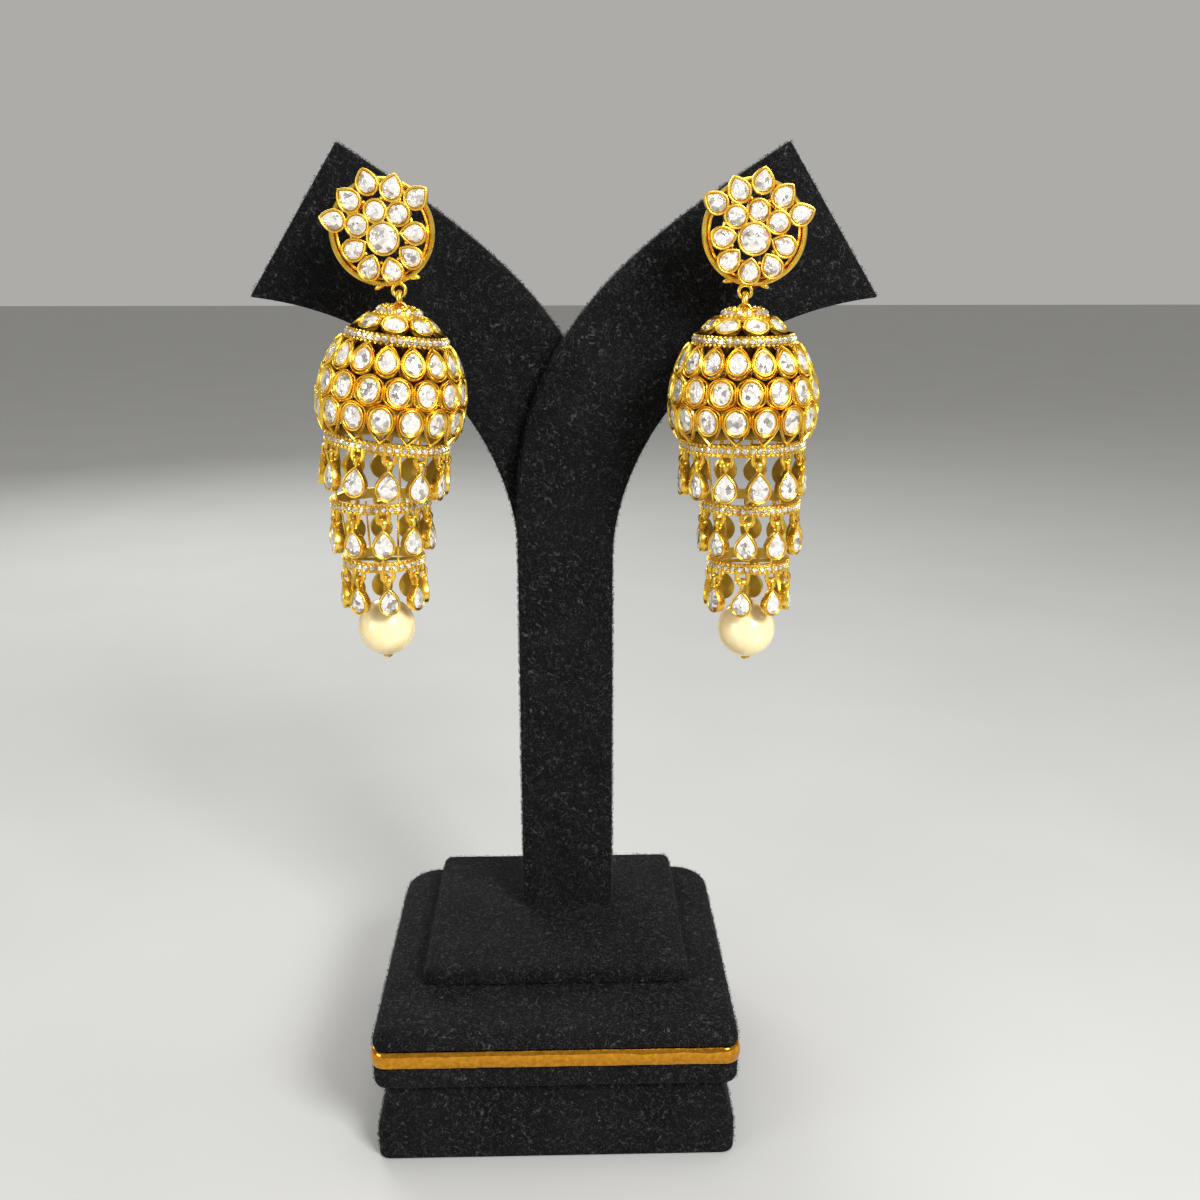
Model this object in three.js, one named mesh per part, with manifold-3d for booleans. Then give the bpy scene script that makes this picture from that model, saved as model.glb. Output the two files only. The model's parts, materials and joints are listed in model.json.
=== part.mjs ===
// A pair of jhumka earrings on the velvet stand that shows them.
// Millimetres, +Z up, the front faces -Y, the origin is on the floor under the middle of the whole.
import * as THREE from "three";
import { mergeVertices } from "three/addons/utils/BufferGeometryUtils.js";
import Module from "manifold-3d";

const wasm = await Module();
wasm.setup();

// Clearances
const GAP = 0.3; // between two pieces that touch
const POCKET_GAP = 0.15; // round a stone in its bezel

// Stand: the stepped base
const BASE_X = -2.2; // the base sits this far off the post's middle
const PLINTH = { width: 61.8, depth: 61, height: 13.6, corner: 2.2, backCorner: 2.2 };
const PLINTH_SIDE = { footHeight: 5.8, footEdge: 0.5, shoulder: 2, shoulderShare: 0.35, slope: 2.2 };
const PLATE = { width: 62.4, depth: 61.6, height: 10.8, corner: 2.4, backCorner: 7 };
const PLATE_EDGE = { top: 2.2, bottom: 1.4, chamferShare: 0.3 };
const TRIM = { height: 3.3, rise: 4.2, proud: 0.45, seat: 0.7, edge: 0.27 };
const STEP = { width: 47.2, depth: 45.4, height: 3, corner: 1.8, backCorner: 1.8, back: 29.2 };
const STEP_EDGE = { top: 1.1, bottom: 0.4 };
const CORNER_STEPS = 4;
const SMALLEST_CORNER = 0.4;

// Stand: two crossed plies, each one an arm and half of the post
const PLY = 3.6;
const POST = { width: 17.2, front: 7 };
const ARM = { tipX: 38.1, tipZ: 169.5, endX: 54.2, endZ: 144, upperFrom: 105, lowerFrom: 97.6 };
const ARM_CURVE = { upperRise: 33.2, upperReach: [26.6, 16.8], lowerRise: 15.3, lowerReach: [33.8, 4.1] };
const CURVE_STEPS = 12;

// Stud: a round wire that carries fourteen bezels
const RIM = { radius: 8.15, wire: 0.45 };
const BACK_WIRE = { radius: 5, wire: 0.3, y: 0.4 }; // the wire behind, to which the bezels are soldered
const BEZEL = { front: -1.5, back: 0.6, wall: 0.42, floor: 0.1, tipWall: 1.3 }; // tipWall is in walls
const STONE = { rise: 0.55, topShare: 0.6 };
// radius is from the rim's centre, angle from the top, point is where a teardrop's tip looks
const SEATS = [
  { name: "centre", radius: 1.1, angle: 180, size: 5.5, point: "none" },
  { name: "inner_top", radius: 3.3, angle: 0, size: 3.9, point: "none" },
  { name: "inner_right", radius: 3.95, angle: 61, size: 4.0, point: "none" },
  { name: "inner_left", radius: 3.95, angle: -61, size: 4.0, point: "none" },
  { name: "outer_top", radius: 7.6, angle: 0, size: 3.8, point: "out" },
  { name: "outer_top_right", radius: 6.75, angle: 31, size: 3.9, point: "out" },
  { name: "outer_top_left", radius: 6.75, angle: -31, size: 3.9, point: "out" },
  { name: "outer_right", radius: 7.6, angle: 62.5, size: 3.8, point: "out" },
  { name: "outer_left", radius: 7.6, angle: -62.5, size: 3.8, point: "out" },
  { name: "lower_right", radius: 5.45, angle: 107.5, size: 3.8, point: "in" },
  { name: "lower_left", radius: 5.45, angle: -107.5, size: 3.8, point: "in" },
  { name: "low_right", radius: 6.3, angle: 145, size: 3.8, point: "in" },
  { name: "low_left", radius: 6.3, angle: -145, size: 3.8, point: "in" },
  { name: "bottom", radius: 6.55, angle: 180, size: 3.8, point: "in" },
];
const TIP_REACH = 0.72; // of the size, from a teardrop's round middle to its tip
const SEAT_SEGMENTS = 9;
const TAB = { x: 2.7, z: -8.0, half: [1.2, 0.45, 0.5], back: 0.45, tilt: 20 };
// grip is how far the left one goes into its ply, sink how far both start inside the centre bezel
const EAR_POST = { radius: 0.5, grip: 0.4, sink: 0.2 };

// Link: the stud's loop, the bail through it and the crown's eye on the bail
const LOOP = { radius: 1.05, wire: 0.32, sink: 0.19 }; // sink is how far it goes into the stud's rim
const BAIL = { width: 1.9, wire: 0.3 };
const HOOK_SPAN = LOOP.wire + BAIL.wire + GAP; // between the middles of two hooked wires
const LOOP_SLACK = 0.05;
const LOOP_APART = 2 * LOOP.wire + GAP + LOOP_SLACK; // loop's lowest wire to the eye's highest

// Dome: an open bell with two bands, its outside given as shares of its height and radius
const DOME = { radius: 12.7, height: 23, wall: 1.15, wellRadius: 1.75, wellDepth: 1.35, rimWidth: 0.85 };
const DOME_SECTIONS = [
  { up: 0, out: 0.83 },
  { up: 0.062, out: 0.835 },
  { up: 0.1, out: 0.87 },
  { up: 0.18, out: 0.96 },
  { up: 0.29, out: 1 },
  { up: 0.43, out: 0.99 },
  { up: 0.58, out: 0.9 },
  { up: 0.7, out: 0.77 },
  { up: 0.76, out: 0.69 },
  { up: 0.82, out: 0.65 },
  { up: 0.89, out: 0.52 },
  { up: 0.96, out: 0.33 },
];
const DOME_SEGMENTS = 20;

// Tiers: rings of teardrops, one under the other
const BAND_HEIGHT = 1.4;
const TIER_GAP = 1.05; // from a drop to the next ring, less the thread over the first tier
const LINK_DROP = 3.1; // from a ring's underside to a drop's tip
const STRAP = { width: 0.7, depth: 0.9, overlap: 0.3, sink: 0.1 };
const DROP = { depth: 1.5, length: 4.65, segments: 7, frontShare: 0.85 };
const TIERS = [
  { name: "tier_1_drops", count: 12, ring: 10.05, band: 0.3, width: 4.1 },
  { name: "tier_2_drops", count: 10, ring: 8.05, band: 0.6, width: 3.95 },
  { name: "tier_3_drops", count: 8, ring: 6.55, band: 0.6, width: 3.8 },
];
const THREAD = 0.3; // radius of the wire that joins the first tier's drops
const HANGERS = 4;
const HANGER = 0.25; // radius of a wire between two tiers
const HANGER_SLACK = 0.1; // left over its head besides the gap

// Pearl
const PEARL = { radius: 5, bore: 0.7, below: 11.4 };
const PIN = { radius: 0.35, head: 0.85, headFlat: 0.45, headBelow: 0.25, eye: 0.85, eyeWire: 0.22 };
const CROSSBAR = 0.3;

// Where each earring hangs, how far back its dome reaches, how its stud is turned, how its dome leans,
// how far its rings hang from plumb, and the angle of each tier's first drop from the front
const EARRINGS = [
  {
    side: "left",
    x: -29.2,
    z: 154.9,
    domeBack: 9.2,
    turn: -14.6,
    lean: 7.6,
    hang: -1.5,
    first: [9.5, 9.3, 12.8],
  },
  {
    side: "right",
    x: 30.9,
    z: 154.9,
    domeBack: 7.2,
    turn: 7.5,
    lean: -0.6,
    hang: 1.6,
    first: [8, -10.5, -16],
  },
];

// Finishes
const velvet = new THREE.MeshStandardMaterial({ color: 0x141416, roughness: 1, metalness: 0 });
const gold = new THREE.MeshStandardMaterial({ color: 0xe0a93a, roughness: 0.3, metalness: 1 });
const brightGold = new THREE.MeshStandardMaterial({ color: 0xe8b54a, roughness: 0.12, metalness: 1 });
const stoneFinish = new THREE.MeshStandardMaterial({ color: 0xdfe0e4, roughness: 0.15, metalness: 0.1 });
const pearlFinish = new THREE.MeshStandardMaterial({ color: 0xf2e4bd, roughness: 0.25, metalness: 0 });

const radians = THREE.MathUtils.degToRad;
const part = new THREE.Group();

function addMesh(parent, name, geometry, material) {
  const mesh = new THREE.Mesh(geometry, material);
  mesh.name = name;
  parent.add(mesh);
  return mesh;
}

// A geometry with only its places, and each shared vertex once
function bare(geometry) {
  const places = new THREE.BufferGeometry();
  places.setAttribute("position", geometry.getAttribute("position"));
  places.setIndex(geometry.getIndex());
  return mergeVertices(places, 1e-4);
}

function solid(geometry) {
  const { attributes, index } = bare(geometry);
  const vertProperties = new Float32Array(attributes.position.array);
  const made = new wasm.Manifold(
    new wasm.Mesh({ numProp: 3, vertProperties, triVerts: new Uint32Array(index.array) }),
  );
  if (made.volume() > 0) return made;
  const flipped = new Uint32Array(index.array).reverse();
  return new wasm.Manifold(new wasm.Mesh({ numProp: 3, vertProperties, triVerts: flipped }));
}

function geometryOf(made) {
  const { vertProperties, triVerts } = made.getMesh();
  const geometry = new THREE.BufferGeometry();
  geometry.setAttribute("position", new THREE.BufferAttribute(vertProperties, 3));
  geometry.setIndex(new THREE.BufferAttribute(triVerts, 1));
  return geometry;
}

function joined(geometries) {
  return geometries.map(solid).reduce((all, next) => all.add(next));
}

// A closed skin over rings of points, each ring an outline of the same count, with flat ends
function loft(rings) {
  const count = rings[0].length;
  const points = rings.flat();
  const index = [];
  for (let level = 0; level + 1 < rings.length; level += 1) {
    for (let i = 0; i < count; i += 1) {
      const a = level * count + i;
      const b = level * count + ((i + 1) % count);
      index.push(a, b, b + count, a, b + count, a + count);
    }
  }
  for (const [ring, turned] of [[rings[0], true], [rings.at(-1), false]]) {
    const start = turned ? 0 : (rings.length - 1) * count;
    const middle = points.length;
    points.push(ring.reduce((sum, p) => sum.clone().add(p), new THREE.Vector3()).divideScalar(count));
    for (let i = 0; i < count; i += 1) {
      const next = start + ((i + 1) % count);
      index.push(middle, turned ? next : start + i, turned ? start + i : next);
    }
  }
  const geometry = new THREE.BufferGeometry().setFromPoints(points);
  geometry.setIndex(index);
  return geometryOf(solid(geometry));
}

// A rectangle with round corners, drawn in by an inset on every side, as a ring of points at height z
function insetRing(plate, inset, z, centreY = 0) {
  const points = [];
  const corners = [[1, 1, 0], [-1, 1, 90], [-1, -1, 180], [1, -1, 270]];
  for (const [sx, sy, from] of corners) {
    const whole = sy > 0 ? plate.backCorner : plate.corner;
    const corner = Math.max(whole - inset, SMALLEST_CORNER);
    for (let i = 0; i <= CORNER_STEPS; i += 1) {
      const angle = radians(from + (90 * i) / CORNER_STEPS);
      const x = sx * (plate.width / 2 - inset - corner) + corner * Math.cos(angle);
      const y = sy * (plate.depth / 2 - inset - corner) + corner * Math.sin(angle);
      points.push(new THREE.Vector3(BASE_X + x, centreY + y, z));
    }
  }
  return points;
}

// Insets and heights of a quarter-round edge that rises from the side to the top
function filletSteps(radius, top) {
  const steps = 4;
  return Array.from({ length: steps }, (_, i) => {
    const angle = radians((90 * (i + 1)) / steps);
    return [radius * (1 - Math.cos(angle)), top - radius + radius * Math.sin(angle)];
  });
}

function plinth() {
  const { footHeight, footEdge, shoulder, shoulderShare, slope } = PLINTH_SIDE;
  const levels = [
    [footEdge, 0],
    [0, footEdge],
    [0, footHeight],
    [slope * shoulderShare, footHeight + shoulder],
    [slope, PLINTH.height],
  ];
  return loft(levels.map(([inset, z]) => insetRing(PLINTH, inset, z)));
}

const plateFrom = PLINTH.height + GAP;
const plateTop = plateFrom + PLATE.height;
const trimFrom = plateFrom + TRIM.rise;

function plate() {
  const grooveInset = TRIM.seat + GAP;
  const { top, bottom, chamferShare } = PLATE_EDGE;
  const levels = [
    [bottom, plateFrom],
    [bottom * chamferShare, plateFrom + bottom * chamferShare],
    [0, plateFrom + bottom],
    [0, trimFrom - GAP],
    [grooveInset, trimFrom - GAP],
    [grooveInset, trimFrom + TRIM.height + GAP],
    [0, trimFrom + TRIM.height + GAP],
    [0, plateTop - top],
    ...filletSteps(top, plateTop),
  ];
  return loft(levels.map(([inset, z]) => insetRing(PLATE, inset, z)));
}

// The strip is a closed frame that lies in the plate's groove and stands a little proud
function trim() {
  const top = trimFrom + TRIM.height;
  const { proud, edge } = TRIM;
  const outer = loft([
    insetRing(PLATE, edge - proud, trimFrom),
    insetRing(PLATE, -proud, trimFrom + edge),
    insetRing(PLATE, -proud, top - edge),
    insetRing(PLATE, edge - proud, top),
  ]);
  const hollow = loft([insetRing(PLATE, TRIM.seat, trimFrom - 1), insetRing(PLATE, TRIM.seat, top + 1)]);
  return geometryOf(solid(outer).subtract(solid(hollow)));
}

const stepFrom = plateTop + GAP;
const stepTop = stepFrom + STEP.height;
const postBottom = stepFrom;
const postDepth = 2 * PLY + GAP;

function box(width, depth, height, x, y, z) {
  return new THREE.BoxGeometry(width, depth, height).translate(x, y, z);
}

// The small top step, with a slot for the post's foot
function topStep() {
  const centreY = STEP.back - STEP.depth / 2;
  const levels = [
    [STEP_EDGE.bottom, stepFrom],
    [0, stepFrom + STEP_EDGE.bottom],
    [0, stepTop - STEP_EDGE.top],
    ...filletSteps(STEP_EDGE.top, stepTop),
  ];
  const body = loft(levels.map(([inset, z]) => insetRing(STEP, inset, z, centreY)));
  const middleY = POST.front + postDepth / 2;
  const slot = box(POST.width + 2 * GAP, postDepth + 2 * GAP, 3 * STEP.height, 0, middleY, stepTop);
  return geometryOf(solid(body).subtract(solid(slot)));
}

// A ply's outline: up the post's inner side, along the arm, across its end and back underneath
function plyShape(side) {
  const half = POST.width / 2;
  const shape = new THREE.Shape();
  shape.moveTo(-side * half, postBottom);
  shape.lineTo(-side * half, ARM.upperFrom);
  shape.bezierCurveTo(
    -side * half, ARM.upperFrom + ARM_CURVE.upperRise,
    side * (ARM.tipX - ARM_CURVE.upperReach[0]), ARM.tipZ - ARM_CURVE.upperReach[1],
    side * ARM.tipX, ARM.tipZ,
  );
  shape.lineTo(side * ARM.endX, ARM.endZ);
  shape.bezierCurveTo(
    side * (ARM.endX - ARM_CURVE.lowerReach[0]), ARM.endZ - ARM_CURVE.lowerReach[1],
    side * half, ARM.lowerFrom + ARM_CURVE.lowerRise,
    side * half, ARM.lowerFrom,
  );
  shape.lineTo(side * half, postBottom);
  return shape;
}

function ply(side, earring, front) {
  const shape = plyShape(side);
  const hole = new THREE.Path();
  hole.absarc(earring.x, earring.z, EAR_POST.radius + GAP, 0, 2 * Math.PI);
  shape.holes.push(hole);
  const options = { depth: PLY, bevelEnabled: false, curveSegments: CURVE_STEPS };
  const flat = new THREE.ExtrudeGeometry(shape, options);
  return geometryOf(solid(flat.rotateX(Math.PI / 2).translate(0, front + PLY, 0)));
}

// A round outline, or a teardrop's with its tip towards +Z, in the XZ plane about its round middle
function seatOutline(radius, reach, segments = SEAT_SEGMENTS) {
  const touch = reach > radius ? Math.acos(radius / reach) : 0;
  const points = [];
  const from = Math.PI / 2 + touch;
  const sweep = 2 * Math.PI - 2 * touch;
  for (let i = 0; i < segments; i += 1) {
    const share = touch > 0 ? i / (segments - 1) : i / segments;
    const angle = from + sweep * share;
    points.push(new THREE.Vector2(radius * Math.cos(angle), radius * Math.sin(angle)));
  }
  if (touch > 0) points.push(new THREE.Vector2(0, reach));
  return points;
}

function ringAt(outline, y, share = 1) {
  return outline.map((p) => new THREE.Vector3(p.x * share, y, p.y * share));
}

// A prism over an outline, from a front y to a back y
function prism(outline, front, back) {
  return loft([ringAt(outline, front), ringAt(outline, back)]);
}

// Moves a piece from a seat's own frame to the stud's frame
function toSeat(geometry, seat) {
  const angle = radians(seat.angle);
  const turn = seat.point === "in" ? angle + Math.PI : angle;
  geometry.rotateY(turn);
  return geometry.translate(seat.radius * Math.sin(angle), 0, seat.radius * Math.cos(angle));
}

function seatShape(seat, inset) {
  const radius = seat.size / 2 - inset;
  const reach = seat.point === "none" ? 0 : seat.size * TIP_REACH - inset * BEZEL.tipWall;
  return seatOutline(radius, reach);
}

// A ring of wire about the Y axis, centred on x, z
function wireRing(radius, wire, z, sides, steps) {
  return new THREE.TorusGeometry(radius, wire, sides, steps).rotateX(Math.PI / 2).translate(0, 0, z);
}

function wireRod(radius, from, to, sides = 8) {
  const along = new THREE.Vector3().subVectors(to, from);
  const rod = new THREE.CylinderGeometry(radius, radius, along.length(), sides);
  const rodAxis = new THREE.Vector3(0, 1, 0);
  const turn = new THREE.Quaternion().setFromUnitVectors(rodAxis, along.clone().normalize());
  return rod.applyQuaternion(turn).translate(...from.clone().add(to).multiplyScalar(0.5).toArray());
}

const loopZ = -(RIM.radius + RIM.wire + LOOP.radius - LOOP.sink);

// Rim, bezels, loop, back tabs and ear post: soldered metal, in the stud's own frame
function studFrame(turn, postEnd) {
  const bezels = SEATS.map((seat) => toSeat(prism(seatShape(seat, 0), BEZEL.front, BEZEL.back), seat));
  const rim = wireRing(RIM.radius, RIM.wire, 0, 5, 24);
  const backWire = wireRing(BACK_WIRE.radius, BACK_WIRE.wire, 0, 4, 16).translate(0, BACK_WIRE.y, 0);
  const tabs = [-1, 1].map((side) =>
    new THREE.SphereGeometry(1, 6, 4)
      .scale(...TAB.half)
      .rotateY(radians(-side * TAB.tilt))
      .translate(side * TAB.x, TAB.back, TAB.z),
  );
  const postStart = new THREE.Vector3(0, BEZEL.back - EAR_POST.sink, 0);
  const post = wireRod(EAR_POST.radius, postStart, new THREE.Vector3(0, postEnd, 0));
  const pockets = SEATS.map((seat) =>
    toSeat(prism(seatShape(seat, BEZEL.wall), BEZEL.front - 1, BEZEL.floor), seat),
  );
  const body = joined([...bezels, rim, backWire, ...tabs, post]).subtract(joined(pockets));
  // The loop stands upright however the stud is turned, so it is placed after the turn
  const turned = solid(geometryOf(body).rotateY(turn));
  return geometryOf(turned.add(solid(hangingLoop(turn))));
}

function loopPlace(turn) {
  return new THREE.Vector3(loopZ * Math.sin(turn), 0, loopZ * Math.cos(turn));
}

function hangingLoop(turn) {
  const place = loopPlace(turn);
  return wireRing(LOOP.radius, LOOP.wire, 0, 5, 12).translate(place.x, place.y, place.z);
}

// A stone: straight sides in the bezel and a low dome in front of it
function stone(seat) {
  const outline = seatShape(seat, BEZEL.wall + POCKET_GAP);
  return loft([
    ringAt(outline, BEZEL.floor - POCKET_GAP),
    ringAt(outline, BEZEL.front),
    ringAt(outline, BEZEL.front - STONE.rise, STONE.topShare),
  ]);
}

// The bail is a side-on ring through the stud's loop and the crown's eye
const bailHeight = 2 * HOOK_SPAN + LOOP_APART;

function bail() {
  const flat = new THREE.TorusGeometry(bailHeight / 2, BAIL.wire, 5, 12);
  flat.scale(BAIL.width / bailHeight, 1, 1).rotateX(Math.PI / 2).rotateZ(Math.PI / 2);
  return geometryOf(solid(flat.translate(0, 0, HOOK_SPAN - bailHeight / 2)));
}

// The dome hangs under its eye: z is 0 at the bail's lowest wire
const eyeZ = HOOK_SPAN - LOOP.radius;
const wellFloor = eyeZ - LOOP.radius + LOOP.wire;
const domeTop = wellFloor + DOME.wellDepth;
const domeBottom = domeTop - DOME.height;

function domeProfile() {
  const outside = DOME_SECTIONS.map(({ up, out }) => [DOME.radius * out, domeBottom + DOME.height * up]);
  const inside = DOME_SECTIONS.filter((section, i) => i % 2 === 0).map(({ up, out }) => [
    DOME.radius * out - DOME.wall,
    domeBottom + DOME.height * up - DOME.wall * up,
  ]).reverse();
  const lip = DOME.wellRadius + DOME.rimWidth;
  return [
    [0, wellFloor],
    [DOME.wellRadius, wellFloor],
    [DOME.wellRadius, domeTop],
    [lip, domeTop],
    ...outside.reverse(),
    ...inside.reverse(),
    [0, wellFloor - DOME.wall],
  ].map(([r, z]) => new THREE.Vector2(r, z));
}

function dome() {
  const shell = new THREE.LatheGeometry(domeProfile(), DOME_SEGMENTS).rotateX(Math.PI / 2);
  const eye = wireRing(LOOP.radius, LOOP.wire, eyeZ, 5, 12);
  return geometryOf(joined([shell, eye]));
}

const tierPitch = LINK_DROP + DROP.length + BAND_HEIGHT + TIER_GAP;

// A flat ring about Z with a square section, its top at z
function bandRing(radius, halfWidth, top, height) {
  const [near, far] = [radius - halfWidth, radius + halfWidth];
  const section = [[near, top], [far, top], [far, top - height], [near, top - height], [near, top]];
  const profile = section.map(([r, z]) => new THREE.Vector2(r, z));
  return new THREE.LatheGeometry(profile, 20).rotateX(Math.PI / 2);
}

// One drop with its strap, hung from height z at the front of a ring
function drop(tier, z) {
  const radius = tier.width / 2;
  const reach = DROP.length - radius;
  const outline = seatOutline(radius, reach, DROP.segments);
  const tip = z - LINK_DROP;
  const strapLength = LINK_DROP + 2 * STRAP.overlap;
  const half = DROP.depth / 2;
  const body = loft([ringAt(outline, -half, DROP.frontShare), ringAt(outline, half)]);
  body.translate(0, -tier.ring, tip - reach);
  const strap = box(STRAP.width, STRAP.depth, strapLength, 0, -tier.ring, z - LINK_DROP / 2 - STRAP.sink);
  return [body, strap];
}

// A ring of drops, with wires up towards the ring above; z is the ring's underside
function tier(index, z, first, above) {
  const made = TIERS[index];
  const pieces = [];
  for (let i = 0; i < made.count; i += 1) {
    const turn = radians(first[index]) + (2 * Math.PI * i) / made.count;
    pieces.push(...drop(made, z).map((geometry) => geometry.rotateZ(turn)));
  }
  if (index === 0) {
    pieces.push(new THREE.TorusGeometry(made.ring, THREAD, 4, 24).translate(0, 0, z));
    return pieces;
  }
  pieces.push(bandRing(made.ring, made.band, z + BAND_HEIGHT, BAND_HEIGHT));
  const upper = TIERS[index - 1];
  const halfStep = Math.PI / upper.count;
  for (let i = 0; i < HANGERS; i += 1) {
    const nth = Math.round((i * upper.count) / HANGERS);
    const angle = radians(first[index - 1]) + halfStep + 2 * halfStep * nth - Math.PI / 2;
    const out = new THREE.Vector3(Math.cos(angle), Math.sin(angle), 0);
    const foot = out.clone().multiplyScalar(made.ring - made.band / 2).setZ(z + BAND_HEIGHT / 2);
    const head = out.clone().multiplyScalar(above.radius).setZ(above.z);
    pieces.push(wireRod(HANGER, foot, head, 4));
  }
  return pieces;
}

function crossbar(z) {
  const reach = TIERS[2].ring;
  return wireRod(CROSSBAR, new THREE.Vector3(-reach, 0, z), new THREE.Vector3(reach, 0, z), 6);
}

function pearl() {
  const steps = 8;
  const from = Math.asin(PEARL.bore / PEARL.radius);
  const profile = Array.from({ length: steps + 1 }, (_, i) => {
    const angle = from + ((Math.PI - 2 * from) * i) / steps;
    return new THREE.Vector2(PEARL.radius * Math.sin(angle), PEARL.radius * Math.cos(angle));
  });
  profile.push(profile[0].clone());
  return geometryOf(solid(new THREE.LatheGeometry(profile, 14).rotateX(Math.PI / 2)));
}

// The pin goes up through the pearl and ends in an eye over the crossbar; z is 0 at the pearl's middle
function pearlPin(barZ) {
  const headZ = -PEARL.radius - GAP - PIN.headBelow;
  const foot = new THREE.Vector3(0, 0, headZ);
  const shank = wireRod(PIN.radius, foot, new THREE.Vector3(0, 0, barZ - PIN.eye), 6);
  const head = new THREE.SphereGeometry(PIN.head, 6, 4).scale(1, 1, PIN.headFlat).translate(0, 0, headZ);
  const eye = new THREE.TorusGeometry(PIN.eye, PIN.eyeWire, 5, 10).rotateY(Math.PI / 2);
  return geometryOf(joined([shank, head, eye.translate(0, 0, barZ)]));
}

function addStand() {
  const [left, right] = EARRINGS;
  addMesh(part, "base_plinth", plinth(), velvet);
  addMesh(part, "base_plate", plate(), velvet);
  addMesh(part, "base_trim", trim(), brightGold);
  addMesh(part, "base_step", topStep(), velvet);
  addMesh(part, "stand_right_arm", ply(1, right, POST.front), velvet);
  addMesh(part, "stand_left_arm", ply(-1, left, POST.front + PLY + GAP), velvet);
}

// The stud stands as far forward as the dome needs to clear the velvet
function studY(earring) {
  return earring.domeBack - DOME.radius;
}

function addStud(earring) {
  const stud = new THREE.Group();
  stud.position.set(earring.x, studY(earring), earring.z);
  part.add(stud);
  const turn = radians(earring.turn);
  // Both ear posts are as long as the left one, which just reaches into the rear ply
  const postEnd = POST.front + PLY + GAP + EAR_POST.grip - studY(EARRINGS[0]);
  addMesh(stud, `${earring.side}_stud_frame`, studFrame(turn, postEnd), gold);
  for (const seat of SEATS) {
    const made = toSeat(stone(seat), seat).rotateY(turn);
    addMesh(stud, `${earring.side}_stone_${seat.name}`, made, stoneFinish);
  }
}

// The bail, the dome and what hangs under it
function addDrop(earring) {
  const turn = radians(earring.turn);
  const lean = radians(earring.lean);
  const loop = loopPlace(turn);
  const pivot = new THREE.Vector3(earring.x + loop.x, studY(earring), earring.z + loop.z - LOOP.radius);
  const bailMesh = addMesh(part, `${earring.side}_bail`, bail(), gold);
  bailMesh.position.copy(pivot);

  const hinge = new THREE.Group();
  hinge.position.set(pivot.x, pivot.y, pivot.z + HOOK_SPAN - bailHeight);
  hinge.rotation.y = lean;
  part.add(hinge);
  addMesh(hinge, `${earring.side}_dome`, dome(), gold);

  // The first tier follows the dome's lean, the rings below hang plumb
  const threadZ = domeBottom - THREAD - GAP;
  const firstTier = geometryOf(joined(tier(0, threadZ, earring.first)));
  addMesh(hinge, `${earring.side}_${TIERS[0].name}`, firstTier, gold);

  const plumb = new THREE.Group();
  plumb.position.copy(hinge.position);
  plumb.position.x += domeBottom * Math.sin(lean) + earring.hang;
  part.add(plumb);
  const ringZ = [1, 2].map((n) => domeBottom - n * tierPitch);
  const barZ = ringZ[1] + BAND_HEIGHT / 2;
  const drift = TIERS[0].ring * Math.sin(Math.abs(lean));
  const inThread = TIERS[0].ring - DROP.depth / 2 - GAP - HANGER - drift / 2;
  const heads = [
    { radius: inThread - Math.abs(earring.hang), z: threadZ - drift },
    { radius: TIERS[1].ring, z: ringZ[0] - GAP - HANGER_SLACK },
  ];
  for (const n of [1, 2]) {
    const pieces = tier(n, ringZ[n - 1], earring.first, heads[n - 1]);
    if (n === 2) pieces.push(crossbar(barZ));
    addMesh(plumb, `${earring.side}_${TIERS[n].name}`, geometryOf(joined(pieces)), gold);
  }
  const pearlZ = ringZ[1] - PEARL.below;
  const bead = addMesh(plumb, `${earring.side}_pearl`, pearl(), pearlFinish);
  const pin = addMesh(plumb, `${earring.side}_pearl_pin`, pearlPin(barZ - pearlZ), gold);
  bead.position.z = pearlZ;
  pin.position.z = pearlZ;
}

addStand();
for (const earring of EARRINGS) {
  addStud(earring);
  addDrop(earring);
}

export default part;
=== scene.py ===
# %% [markdown]
# # A pair of jhumka earrings on a velvet stand
# A jhumka is a bell-shaped drop earring. This pair has a flower stud, an openwork bell set with white
# stones, three tiers of small teardrops and a pearl, and it hangs on a stand covered in black velvet.
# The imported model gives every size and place. The looks are built around it, piece by piece: first
# the tools for numpy surfaces, then the finishes, the stand, the studs, the bells and what hangs below.

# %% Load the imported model
import json
import math

import bpy
import numpy as np
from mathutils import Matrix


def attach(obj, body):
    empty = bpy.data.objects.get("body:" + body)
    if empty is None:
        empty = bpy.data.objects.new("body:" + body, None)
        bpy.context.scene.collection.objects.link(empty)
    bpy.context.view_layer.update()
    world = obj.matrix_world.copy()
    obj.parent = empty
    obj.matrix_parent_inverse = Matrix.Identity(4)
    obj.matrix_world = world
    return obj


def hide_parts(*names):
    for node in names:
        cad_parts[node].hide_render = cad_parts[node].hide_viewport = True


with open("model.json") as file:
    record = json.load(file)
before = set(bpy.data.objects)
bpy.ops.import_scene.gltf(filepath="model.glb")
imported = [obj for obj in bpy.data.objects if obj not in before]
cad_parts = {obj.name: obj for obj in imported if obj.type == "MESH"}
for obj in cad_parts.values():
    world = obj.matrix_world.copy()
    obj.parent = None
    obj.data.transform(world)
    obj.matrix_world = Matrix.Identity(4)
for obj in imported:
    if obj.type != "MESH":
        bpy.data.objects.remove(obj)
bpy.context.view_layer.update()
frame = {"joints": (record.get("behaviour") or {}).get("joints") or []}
MM = 0.001  # the lists of sizes below are in millimetres, as a maker would note them
joints = {joint["name"]: np.array(joint["pos_m"]) / MM for joint in frame["joints"]}

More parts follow.
